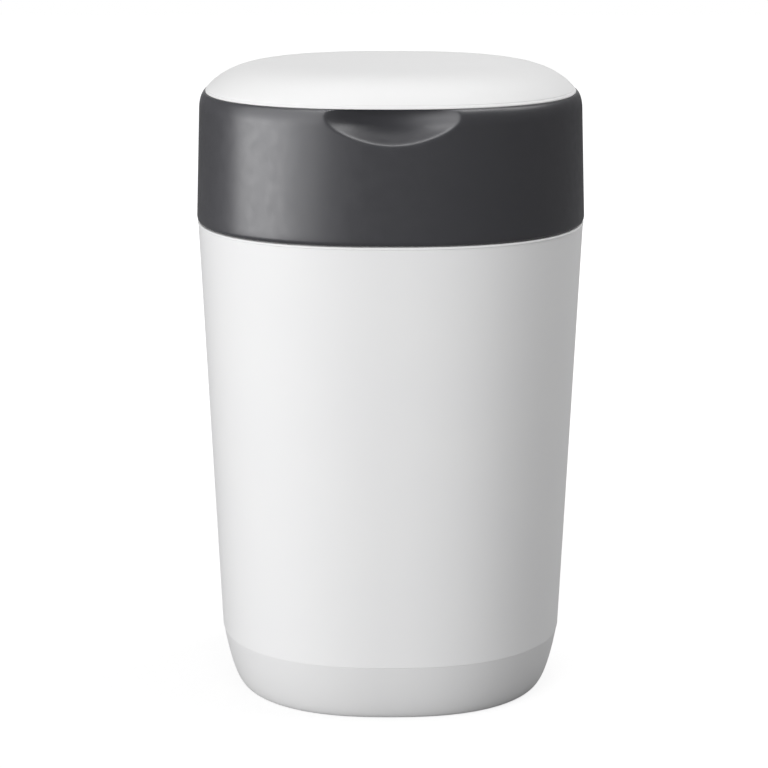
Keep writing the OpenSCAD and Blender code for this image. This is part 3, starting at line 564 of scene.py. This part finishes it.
half_turn = (1 - np.cos(np.linspace(0, np.pi, 44))) / 2
quarter = np.linspace(0, np.pi / 2, 9)
low_edge = COLLAR_BOTTOM + EDGE_ROUND
edge_grow = EDGE_STEPS[:, None]
edge_rise = mouth_rise(mouth_x, edge_grow, ROW_SPREAD + ROW_GROWTH * edge_grow)
low_fillet = RECESS_Z - edge_rise
highest = COLLAR_TOP - ROW_LEAST * (1 + EDGE_STEPS[0] - edge_grow)
high_fillet = np.minimum(RECESS_Z + edge_rise, highest)[::-1]
wall_heights = np.concatenate([
    spaced(low_edge, low_fillet[:1], 1 - (1 - np.linspace(0, 1, 40)[1:-1]) ** 2),
    low_fillet,
    spaced(low_fillet[-1:], high_fillet[:1], half_turn[1:-1]),
    high_fillet,
    spaced(high_fillet[-1:], COLLAR_TOP, np.sin(np.linspace(0, np.pi / 2, 16))[1:])])
outer = collar_rows(wall_heights)

# The opening's edge, from the collar's top to the flange's underside: how far each row stands
# outside the opening, and how far below the top
OPENING_EDGE = ((0.9, 0), (0.5, 0), (0.15, 0.15), (0, 0.5), (0, FLANGE - 0.4), (0.4, FLANGE))
edge_out, edge_down = np.transpose(OPENING_EDGE)
flange_edge = circle_rows(OPENING + edge_out, COLLAR_TOP - edge_down)
flange_steps = np.array([0.06, 0.5, 0.94])[:, None, None]
flange = outer[-1:] + (flange_edge[:1] - outer[-1:]) * flange_steps
inner_mouth = RECESS_Z - mouth_rise(mouth_x, COLLAR_WALL, INNER_SPREAD)
inner = collar_rows(np.concatenate([
    spaced(inner_mouth, COLLAR_TOP - FLANGE, half_turn[::-1]),
    spaced(inner_mouth, INNER_RIB_TOP, np.linspace(0, 1, 8)[1:])]), COLLAR_WALL)
skirt_half = COLLAR_HALF - COLLAR_WALL
rib_and_skirt = flat_rows(
    [INNER_RIB_HALF, INNER_RIB_HALF, skirt_half, skirt_half, skirt_half, skirt_half + EDGE_INNER],
    [INNER_RIB_TOP, INNER_RIB_BOTTOM, INNER_RIB_BOTTOM, INNER_RIB_BOTTOM - 1,
     COLLAR_BOTTOM + EDGE_INNER, COLLAR_BOTTOM])
lower_edge = flat_rows(
    collar_face(np.array(low_edge)) - EDGE_IN * (1 - np.cos(quarter[::-1])),
    COLLAR_BOTTOM + EDGE_ROUND * (1 - np.sin(quarter[::-1])))
shell = np.concatenate([outer, flange, flange_edge, inner, rib_and_skirt, lower_edge])


def block(low, high):
    """Grid of a box between two corners: a ring of its four upright edges, closed by a pole in the
    middle of its underside and of its top."""
    (x0, y0, z0), (x1, y1, z1) = low, high
    ring = np.array([[x0, y0], [x1, y0], [x1, y1], [x0, y1]], float)
    middle = np.repeat(ring.mean(0)[None], 4, 0)
    rows = [(middle, z0), (ring, z0), (ring, z1), (middle, z1)]
    return np.stack([np.column_stack([row, np.full(4, z)]) for row, z in rows])


def along_x(grid, y, z):
    """Turns a grid made round the Z axis to lie round an axis along X through y and z."""
    return grid[..., [2, 0, 1]] + np.array([0, y, z])


def cut_away(target, *grids):
    """Cuts solids out of a piece, one after another, and keeps its shading."""
    for grid in grids:
        cutter = piece("cutter", target.data.materials[0], [grid])
        cut = target.modifiers.new("cut", "BOOLEAN")
        cut.object, cut.operation, cut.solver = cutter, "DIFFERENCE", "EXACT"
        bpy.context.view_layer.update()
        shaped = target.evaluated_get(bpy.context.evaluated_depsgraph_get())
        target.data = bpy.data.meshes.new_from_object(shaped)
        target.modifiers.clear()
        bpy.data.objects.remove(cutter)
    target.data.name = target.name
    target.data.set_sharp_from_angle(angle=math.radians(SHARP_ANGLE))


def placed(grid, radius, angles):
    """Copies of a grid, moved out to a radius and turned to each angle in degrees round Z."""
    for angle in np.radians(angles):
        c, s = math.cos(angle), math.sin(angle)
        moved = grid + np.array([radius, 0, 0])
        yield moved @ np.array([[c, s, 0], [-s, c, 0], [0, 0, 1]])


boss = carried(rounded([(SCREW_HOLE, BOSS_BOTTOM, 0.1), (BOSS_RADIUS, BOSS_BOTTOM, 0.3),
                        (BOSS_RADIUS, BOSS_TOP, 0.1), (SCREW_HOLE, BOSS_TOP, 0.1)]), 32, 2)
collar = piece("collar_moulding", dark_polypropylene, [shell])
cut_away(collar, block((-NOTCH_HALF, NOTCH_Y, NOTCH_Z),
                       (NOTCH_HALF, COLLAR_HALF + CUT_PAST, COLLAR_TOP + CUT_PAST)))
bosses = piece("collar_bosses", dark_polypropylene, list(placed(boss, BOSS_RING, BOSS_ANGLES)))
satin_pieces.objects.link(collar)
for part in (collar, bosses):
    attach(part, "head")
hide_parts("collar")


# Rim seal. A soft ring under the collar's inner rib, moulded in grey thermoplastic elastomer. It
# closes the gap over the tub's rim and keeps smells in.
SEAL_IN = INNER_RIB_HALF + 0.5
SEAL_OUT = skirt_half - 0.5
SEAL_BOTTOM = RIM_TOP + 0.35
SEAL_TOP = INNER_RIB_BOTTOM - 0.05

# Grey elastomer: matt and a little soft to the eye, with next to no gloss
elastomer = moulding("soft_elastomer", "5A5C60", "55575B", 0.72, 0.5, 0.02, IOR=1.46)

seal_profile = rounded([(SEAL_IN, SEAL_BOTTOM, 0.45), (SEAL_OUT, SEAL_BOTTOM, 0.45),
                        (SEAL_OUT, SEAL_TOP, 0.3), (SEAL_IN, SEAL_TOP, 0.3)])
rim_seal = piece("rim_seal", elastomer, [carried(seal_profile, TUB_SIDES)])
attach(rim_seal, "head")
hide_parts("head_seal")


# Chassis, hinge block and cutter rail. The head's inner mouldings, which keep the shape that the
# construction gives them: the round well in pale grey polypropylene, the hinge block and the
# cutter's rail in the collar's dark grey, and the cutter's carriage in mid grey.
def dress(material, *nodes):
    """Gives nodes of the frame a material."""
    for node in nodes:
        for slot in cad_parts[node].material_slots:
            slot.material = material


# Pale grey polypropylene: an even, slightly shinier face than the outside's. Mid grey
# polypropylene: a deep fine grain that takes the shine off where fingers hold it. The grains are
# drawn two to three times coarser than the real ones, so that they just show.
grey_polypropylene = moulding("grey_polypropylene", "C7C9CD", "C1C3C8", 0.48, 0.9, 0.02, IOR=1.49)
grip_polypropylene = moulding("grip_polypropylene", "74777C", "6E7176", 0.55, 0.6, 0.04, IOR=1.49)
dress(grey_polypropylene, "chassis", "clamp_ring")
dress(dark_polypropylene, "hinge_block", "cutter_housing")
dress(grip_polypropylene, "cutter_slide")
dress(white_polypropylene, "dial")


# Screws, pin, spring and blade. Screws and rivet are zinc plated steel, whose crystals give it a
# fine mottled sheen. The pin, the click spring and the blade are ground steel, brushed along.
def steel(tree, pattern, shade, rough, bright, relief):
    """Finishes a steel material, whose roughness and brightness run from low to high with a
    pattern, which also stands up from the face by a hundredth of a millimetre."""
    spread = add(tree, "MapRange", {}, {"Value": pattern, "To Min": rough[0], "To Max": rough[1]})
    level = add(tree, "MapRange", {}, {"Value": pattern, "To Min": bright[0], "To Max": bright[1]})
    colour = add(tree, "VectorMath", {"operation": "SCALE"},
                 {0: linear(shade)[:3], "Scale": level.outputs["Result"]})
    face = add(tree, "Bump", {}, {"Strength": relief, "Distance": 0.00001, "Height": pattern})
    paint = add(tree, "BsdfPrincipled", {},
                {"Base Color": colour.outputs["Vector"], "Metallic": 1.0,
                 "Roughness": spread.outputs["Result"], "Normal": face.outputs["Normal"]})
    add(tree, "OutputMaterial", {}, {"Surface": paint.outputs[0]})


def plated_steel(name, shade, rough, mottle):
    """Zinc plated steel, with patches of slightly different gloss of a size in millimetres."""
    tree, material = new_material(name)
    place = add(tree, "TexCoord", {}, {}).outputs["Object"]
    crystals = add(tree, "TexVoronoi", {}, {"Vector": place, "Scale": 1000 / mottle})
    steel(tree, crystals.outputs["Distance"], shade, (rough - 0.06, rough + 0.08), (0.92, 1.05), 0.2)
    return material


BRUSH_STRETCH = 50


def brushed_steel(name, shade, rough, line, along):
    """Ground steel. The brush lines are noise of a line's width in millimetres, stretched along
    one axis."""
    tree, material = new_material(name)
    place = add(tree, "TexCoord", {}, {}).outputs["Object"]
    stretch = [1 / BRUSH_STRETCH if axis == along else 1 for axis in "XYZ"]
    drawn = add(tree, "Mapping", {}, {"Vector": place, "Scale": stretch})
    lines = add(tree, "TexNoise", {},
                {"Vector": drawn.outputs[0], "Scale": 1000 / line, "Detail": 3.0})
    steel(tree, lines.outputs["Fac"], shade, (rough - 0.08, rough + 0.12), (0.88, 1.08), 0.3)
    return material


# The crystals are 0.1 mm and the brush lines 0.03 mm wide on the real pieces, and both are drawn
# about five times coarser, so that they show.
dress(plated_steel("zinc_plated_steel", "C2C5C9", 0.32, 0.6), "chassis_screws", "hinge_screws",
      "click_screw", "clamp_screws", "housing_screws", "blade_rivet")
dress(brushed_steel("ground_steel_pin", "BFC1C4", 0.3, 0.12, "X"), "hinge_pin", "cutter_blade")
dress(brushed_steel("spring_steel", "B4B6B8", 0.34, 0.15, "Y"), "click_spring")


# Petals. A ring of eight soft elastomer petals under the well's floor, clamped by its outer
# ring. They droop towards the middle and hold the twisted film.
PETALS = 8
PETAL_RING_IN = 65.0
PETAL_ROOT = 66.0
PETAL_RING_OUT = 82.0
PETAL_TOP = 346.1
PETAL_THICK = 2.0
PETAL_THINNING = 0.35
PETAL_TIP = 26.0
PETAL_DROP = 20.0
PETAL_SLOT = 2.5
PETAL_ROWS = 26
PETAL_ACROSS = 15
PETAL_ROUND = 7
PETAL_CLOSE = 0.03
PETAL_END_WIDTH = 0.15


def petal(middle):
    """One petal: a rounded strip carried inwards along an arc that drops by the power 1.5 of the
    way. Its width follows the circle, less the slot, and it thins towards the tip. The ends are
    closed by drawing the last sections in to a point."""
    way = np.concatenate([[-PETAL_CLOSE - 0.01] * 2,
                          np.linspace(-PETAL_CLOSE, 1 - PETAL_CLOSE, PETAL_ROWS),
                          1 - PETAL_CLOSE * (1 - np.sin(quarter))])
    close = np.concatenate([[0, 1], np.ones(PETAL_ROWS), np.cos(quarter)])[:, None]
    radius = (PETAL_ROOT - (PETAL_ROOT - PETAL_TIP) * way)[:, None]
    half = radius * np.pi / PETALS - PETAL_SLOT / 2
    edge = PETAL_THICK / 2 * (1 - PETAL_THINNING * way.clip(0))[:, None]
    flat = np.linspace(1, -1, PETAL_ACROSS)
    turn = np.linspace(0, np.pi, PETAL_ROUND + 2)[1:-1]
    along = np.concatenate([flat, -np.ones(PETAL_ROUND), -flat, np.ones(PETAL_ROUND)])
    angle = np.concatenate([0 * flat + np.pi / 2, np.pi / 2 + turn, 0 * flat - np.pi / 2,
                            turn - np.pi / 2])
    narrowing = PETAL_END_WIDTH + (1 - PETAL_END_WIDTH) * close
    sideways = (along * (half - edge) + edge * np.cos(angle)) * narrowing
    lift = edge * np.sin(angle) * close
    height = PETAL_TOP - PETAL_THICK / 2 - PETAL_DROP * (way.clip(0) ** 1.5)[:, None]
    bearing = middle + sideways / radius
    grid = np.stack([radius * np.cos(bearing), radius * np.sin(bearing), height + lift], 2)
    grid[0], grid[-1] = grid[0].mean(0), grid[-1].mean(0)
    return grid


petal_under = PETAL_TOP - PETAL_THICK
petal_ring = carried(rounded([(PETAL_RING_IN, petal_under, 0.4), (PETAL_RING_OUT, petal_under, 0.4),
                              (PETAL_RING_OUT, PETAL_TOP, 0.4), (PETAL_RING_IN, PETAL_TOP, 0.4)]),
                     160, 2)
petals = piece("grip_petals", elastomer,
               [petal_ring] + [petal(2 * np.pi * i / PETALS) for i in range(PETALS)])
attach(petals, "head")
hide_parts("grip_fingers")


# Lid. A shallow white dome, moulded in the tub's polypropylene with a smoother satin face. A fine
# crease runs round it just above its edge, and its top is plain. Its back is cut out round the
# hinge.
LID_BOTTOM = COLLAR_TOP + 0.4
LID_EDGE = COLLAR_TOP + 0.12
LID_HALF = 125.9
DOME_START = LID_BOTTOM + 0.5
DOME_HEIGHT = 18.09
DOME_FLATNESS = 6.8
DOME_FULLNESS = 1.12
DOME_EDGE = 3.2
LID_CREASE = LID_BOTTOM + 1.7
LID_CREASE_DEPTH = 0.28
LID_CREASE_WIDTH = 0.3
LINER_SEAT_HALF = LID_HALF - 3.6
LINER_SEAT = LID_BOTTOM + 2.7
INNER_DOME_HALF = LINER_SEAT_HALF - 1.3
INNER_DOME_HEIGHT = 13.4
HINGE_Y = LID_HALF + 0.5
HINGE_Z = LID_BOTTOM + 0.8
KNUCKLE = 5.0
KNUCKLE_CLEAR = 0.6
BARREL_HALF = 29.8
TONGUE_CLEAR = 0.4
TONGUE_ROOM_FRONT = 116.0
TONGUE_ROOM_BACK = 137.0
GROOVE_HALF = NOTCH_HALF - 0.3
RING_SIDES = 240

# White polypropylene from a smoother mould: a shade whiter than the tub, with a finer face. Its
# grain too is drawn coarser than the real 0.2 mm.
lid_polypropylene = moulding("lid_polypropylene", "F1F1F1", "EEEEEE", 0.58, 0.8, 0.008, IOR=1.49)


def dome(half, bottom, height, share):
    """Dome profile: height times (1 - share^flatness)^(1/fullness) at each share of the half
    width. A flatness of 2 and a fullness of 2 would give an ellipse."""
    rise = (1 - share ** DOME_FLATNESS).clip(0) ** (1 / DOME_FULLNESS)
    return np.stack([half * share, bottom + height * rise], 1)


# Rows stand evenly in height over the dome's edge, for its crease, whose groove is depth times
# e^-(distance / width)^2, and then evenly across its top
near_edge = np.linspace(0, DOME_EDGE, 40) / DOME_HEIGHT
edge_share = (1 - near_edge ** DOME_FULLNESS) ** (1 / DOME_FLATNESS)
top_share = edge_share[-1] * (1 - np.linspace(0, 1, 70)[1:] ** 1.6)
outside = dome(LID_HALF, DOME_START, DOME_HEIGHT, np.concatenate([edge_share, top_share]))
outside[:, 0] -= LID_CREASE_DEPTH * np.exp(-((outside[:, 1] - LID_CREASE) / LID_CREASE_WIDTH) ** 2)
inside = dome(INNER_DOME_HALF, LINER_SEAT, INNER_DOME_HEIGHT, np.linspace(0, 1, 50) ** 0.7)
edge = rounded([(LINER_SEAT_HALF, LINER_SEAT, 0), (LINER_SEAT_HALF, LID_EDGE, 0.3),
                (LID_HALF - 0.05, LID_EDGE, 0.3), (LID_HALF, DOME_START, 0)], closed=False)
lid_profile = np.concatenate([inside, edge[:-1], outside])
lid = piece("lid_dome", lid_polypropylene, [carried(lid_profile, TUB_SIDES)])
groove_r = KNUCKLE + KNUCKLE_CLEAR
groove = along_x(carried([[0, -GROOVE_HALF], [groove_r, -GROOVE_HALF], [groove_r, GROOVE_HALF],
                          [0, GROOVE_HALF]], 64, 2), HINGE_Y, HINGE_Z)
tongue_room_half = BARREL_HALF + TONGUE_CLEAR
tongue_room = block((-tongue_room_half, TONGUE_ROOM_FRONT, LID_BOTTOM - 2),
                    (tongue_room_half, TONGUE_ROOM_BACK, LINER_SEAT + 0.2))
cut_away(lid, groove, tongue_room)
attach(lid, "lid")
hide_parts("lid_shell")


# Lid liner. The lid's inner moulding, in the same white: a plate that snaps under the dome, a
# round plug skirt that enters the collar's opening, and the tongue and barrel of the hinge.
LINER_HALF = LINER_SEAT_HALF - 0.3
PLATE_BOTTOM = LID_BOTTOM + 0.6
PLATE = 2.0
PLATE_DISH = 0.5
DISH_FROM = 60.0
DISH_TO = 92.0
PLUG_OUT = OPENING - 3.0
PLUG_WALL = 2.0
PLUG_BOTTOM = COLLAR_TOP - 3.2
PIN_HOLE = 2.05

plug_in = PLUG_OUT - PLUG_WALL
plug_top = PLATE_BOTTOM + 0.3
plate = carried(rounded([(0, PLATE_BOTTOM + PLATE_DISH, 0), (DISH_FROM, PLATE_BOTTOM + PLATE_DISH, 20),
                         (DISH_TO, PLATE_BOTTOM, 20), (LINER_HALF, PLATE_BOTTOM, 0.5),
                         (LINER_HALF, PLATE_BOTTOM + PLATE, 0.3), (0, PLATE_BOTTOM + PLATE, 0)],
                        closed=False), RING_SIDES)
plug = carried(rounded([(plug_in, PLUG_BOTTOM, 0.7), (PLUG_OUT, PLUG_BOTTOM, 0.7),
                        (PLUG_OUT, plug_top, 0.1), (plug_in, plug_top, 0.1)]), RING_SIDES, 2)
tongue = block((-BARREL_HALF, LINER_HALF - 5, PLATE_BOTTOM),
               (BARREL_HALF, HINGE_Y, PLATE_BOTTOM + PLATE))
barrel = along_x(carried(rounded([(PIN_HOLE, -BARREL_HALF, 0.1), (KNUCKLE, -BARREL_HALF, 0.4),
                                  (KNUCKLE, BARREL_HALF, 0.4), (PIN_HOLE, BARREL_HALF, 0.1)]), 64, 2),
                 HINGE_Y, HINGE_Z)
liner = piece("lid_liner_moulding", white_polypropylene, [plate, plug, tongue, barrel])
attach(liner, "lid")
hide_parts("lid_liner")


# Plug seal. A soft lipped ring in the same elastomer, stretched round the plug skirt. It closes
# against the opening in the collar's flange.
PLUG_SEAL_IN = PLUG_OUT + 0.05
PLUG_SEAL_BODY = PLUG_OUT + 1.5
PLUG_SEAL_LIP = PLUG_OUT + 2.3
PLUG_SEAL_FOOT = PLUG_BOTTOM + 0.2
PLUG_SEAL_MIDDLE = PLUG_BOTTOM + 1.3
PLUG_SEAL_HEAD = PLUG_BOTTOM + 2.4

plug_seal_profile = rounded([
    (PLUG_SEAL_IN, PLUG_SEAL_FOOT, 0.2), (PLUG_SEAL_BODY, PLUG_SEAL_FOOT, 0.5),
    (PLUG_SEAL_LIP, PLUG_SEAL_MIDDLE, 0.5), (PLUG_SEAL_BODY, PLUG_SEAL_HEAD, 0.5),
    (PLUG_SEAL_IN, PLUG_SEAL_HEAD, 0.2)])
plug_seal = piece("plug_seal", elastomer, [carried(plug_seal_profile, RING_SIDES, 2)])
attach(plug_seal, "lid")
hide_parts("lid_seal")


# Grip ring. The part of the dial that the fingers turn: a mid grey ring in finely grained
# polypropylene that snaps into the dial and keeps the cassette down, with twelve finger ribs.
RING_IN = 92.0
RING_OUT = 107.5
RING_BOTTOM = COLLAR_TOP - 8.3
RING_THICK = 2.4
SPIGOT_OUT = 101.1
SPIGOT_WALL = 1.8
SPIGOT_DROP = 5.0
FINGER_RIBS = 12
RIB_FROM = 92.6
RIB_TO = 103.2
RIB_HALF_W = 1.8
RIB_RISE = 4.6
RIB_DRAFT = 0.25
RIB_SINK = 0.3

ring_top = RING_BOTTOM + RING_THICK
spigot_in = SPIGOT_OUT - SPIGOT_WALL
spigot_end = RING_BOTTOM - SPIGOT_DROP
ring_profile = rounded([(RING_IN, RING_BOTTOM, 0.3), (spigot_in, RING_BOTTOM, 0.2),
                        (spigot_in, spigot_end, 0.3), (SPIGOT_OUT, spigot_end, 0.3),
                        (SPIGOT_OUT, RING_BOTTOM, 0.2), (RING_OUT, RING_BOTTOM, 0.3),
                        (RING_OUT, ring_top, 0.9), (RING_IN, ring_top, 0.9)])

# A rib is a profile carried round a slot shape: two half circles, drawn apart by a reach
rib_profile = rounded([(0, -RIB_SINK, 0), (RIB_HALF_W, -RIB_SINK, 0), (RIB_HALF_W, 0, 0),
                       (RIB_HALF_W - RIB_DRAFT, RIB_RISE, 1.1), (0, RIB_RISE, 0)], closed=False)
rib_half, rib_height = rib_profile[:, :1], rib_profile[:, 1:]
rib_turn = np.linspace(0, 2 * np.pi, 40, endpoint=False)
rib_reach = ((RIB_TO - RIB_FROM) / 2 - RIB_HALF_W) * np.sign(np.cos(rib_turn)) * (rib_half > 0)
rib_grid = np.stack([rib_half * np.cos(rib_turn) + rib_reach, rib_half * np.sin(rib_turn),
                     ring_top + rib_height + 0 * rib_turn], 2)
rib_angles = (np.arange(FINGER_RIBS) + 0.5) * 360 / FINGER_RIBS
ribs = list(placed(rib_grid, (RIB_FROM + RIB_TO) / 2, rib_angles))
grip_ring = piece("grip_ring_moulding", grip_polypropylene,
                  [carried(ring_profile, RING_SIDES, 2)] + ribs)
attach(grip_ring, "dial")
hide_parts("grip_ring")


# Cassette. The refill: a ring-shaped tray with a throat tube, and a cover that leaves a slit for
# the film. Both are thin mouldings in pale blue polystyrene with a bright gloss.

# Polystyrene: glossy and pale blue, with a sharp highlight that only the mould's faint waves,
# 1.5 mm long, break up
cassette_polystyrene = moulding("cassette_polystyrene", "B2CBDA", "ADC7D7", 0.2, 1.5, 0.002, IOR=1.59)

CASSETTE_TOP = RING_BOTTOM - 0.5
TRAY_BOTTOM = CASSETTE_TOP - 55.0
TRAY_OUT = 98.0
THROAT = 62.5
THIN = 1.6
COVER_THICK = 2.0
LIP_DROP = 8.0
FILM_SLIT = 2.9

tray_top = CASSETTE_TOP - COVER_THICK
tray_floor = TRAY_BOTTOM + THIN
tray_in = TRAY_OUT - THIN
throat_out = THROAT + THIN
throat_top = CASSETTE_TOP - 4
tray_profile = rounded([(THROAT, TRAY_BOTTOM, 0.5), (TRAY_OUT, TRAY_BOTTOM, 0.8),
                        (TRAY_OUT, tray_top, 0.1), (tray_in, tray_top, 0.1),
                        (tray_in, tray_floor, 0.5), (throat_out, tray_floor, 0.5),
                        (throat_out, throat_top, 0.75), (THROAT, throat_top, 0.75)])
lip_in = throat_out + FILM_SLIT
lip_end = CASSETTE_TOP - LIP_DROP
cover_profile = rounded([(lip_in, lip_end, 0.5), (lip_in + THIN, lip_end, 0.5),
                         (lip_in + THIN, tray_top, 0.6), (TRAY_OUT, tray_top, 0.1),
                         (TRAY_OUT, CASSETTE_TOP, 0.5), (lip_in, CASSETTE_TOP, 1.2)])
for name, node, profile in (("cassette_tray_moulding", "cassette_tray", tray_profile),
                            ("cassette_cover_moulding", "cassette_cover", cover_profile)):
    part = piece(name, cassette_polystyrene, [carried(profile, RING_SIDES, 2)])
    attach(part, "dial")
    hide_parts(node)


# Film pack. Metres of thin white polyethylene tube, pushed together into pleats and packed in
# the tray. It feeds out through the slit.
PACK_CLEAR = 0.3
PACK_IN = throat_out + PACK_CLEAR
PACK_OUT = tray_in - PACK_CLEAR
PACK_BOTTOM = tray_floor + PACK_CLEAR
PACK_TOP = CASSETTE_TOP - 10.0
PLEATS = 17
PLEAT_DEPTH = 0.7
PLEAT_ROWS = 8
FOLD_HEIGHT = 0.8
FOLD_ROWS = 26
FILM_CREASE = 6

# Thin polyethylene: a cloudy white film that lets some light through, with a broken, wrinkled
# sheen
tree, film_polyethylene = new_material("thin_polyethylene_film")
place = add(tree, "TexCoord", {}, {}).outputs["Object"]
creases = add(tree, "TexNoise", {},
              {"Vector": place, "Scale": 1000 / FILM_CREASE, "Detail": 5.0, "Distortion": 1.5})
haze = add(tree, "MapRange", {}, {"Value": creases.outputs["Fac"], "To Min": 0.24, "To Max": 0.42})
folds = add(tree, "Bump", {},
            {"Strength": 0.6, "Distance": 0.0004, "Height": creases.outputs["Fac"]})
cloud = add(tree, "Mix", {"data_type": "RGBA"},
            {0: creases.outputs["Fac"], 6: linear("EDF1F4"), 7: linear("DDE4EA")})
paint = add(tree, "BsdfPrincipled", {},
            {"Base Color": cloud.outputs[2], "Roughness": haze.outputs["Result"], "IOR": 1.51,
             "Transmission Weight": 0.15, "Normal": folds.outputs["Normal"]})
add(tree, "OutputMaterial", {}, {"Surface": paint.outputs[0]})

# The walls wave in and out as a cosine of the height, whose phase wanders round the ring. The
# top bulges as a half sine across and ripples round the ring.
turns = np.arange(360) / 360 * 2 * np.pi
climb = np.linspace(0, 1, PLEATS * PLEAT_ROWS)[:, None]
wander = 1.1 * np.sin(5 * turns) + 0.7 * np.sin(13 * turns + 2)
wave = PLEAT_DEPTH * (0.5 - 0.5 * np.cos(2 * np.pi * PLEATS * climb + wander))
climb_height = PACK_BOTTOM + (PACK_TOP - PACK_BOTTOM) * climb + 0 * turns
inner_wall = np.stack([PACK_IN + 0.1 + wave, climb_height], 2)
outer_wall = np.stack([PACK_OUT - 0.1 - wave, climb_height], 2)
over = np.linspace(0, 1, FOLD_ROWS)[1:-1, None]
bulge = np.sin(np.pi * over)
ripple = 0.8 * np.sin(24 * turns + 4 * over) * bulge + 0.5 * np.sin(41 * turns - 7 * over)
fold_radius = PACK_IN + (PACK_OUT - PACK_IN) * over + 0 * turns
top_fold = np.stack([fold_radius, PACK_TOP + FOLD_HEIGHT * bulge + ripple * bulge], 2)
under_fold = np.stack([fold_radius, 0 * fold_radius + PACK_BOTTOM], 2)
section = np.concatenate([inner_wall, top_fold, outer_wall[::-1], under_fold[::-1]])
section_radius, section_height = section[..., 0], section[..., 1]
pack_grid = np.stack([section_radius * np.cos(turns), section_radius * np.sin(turns),
                      section_height], 2)
film = piece("pleated_film", film_polyethylene, [pack_grid])
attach(film, "dial")
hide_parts("film_pack")
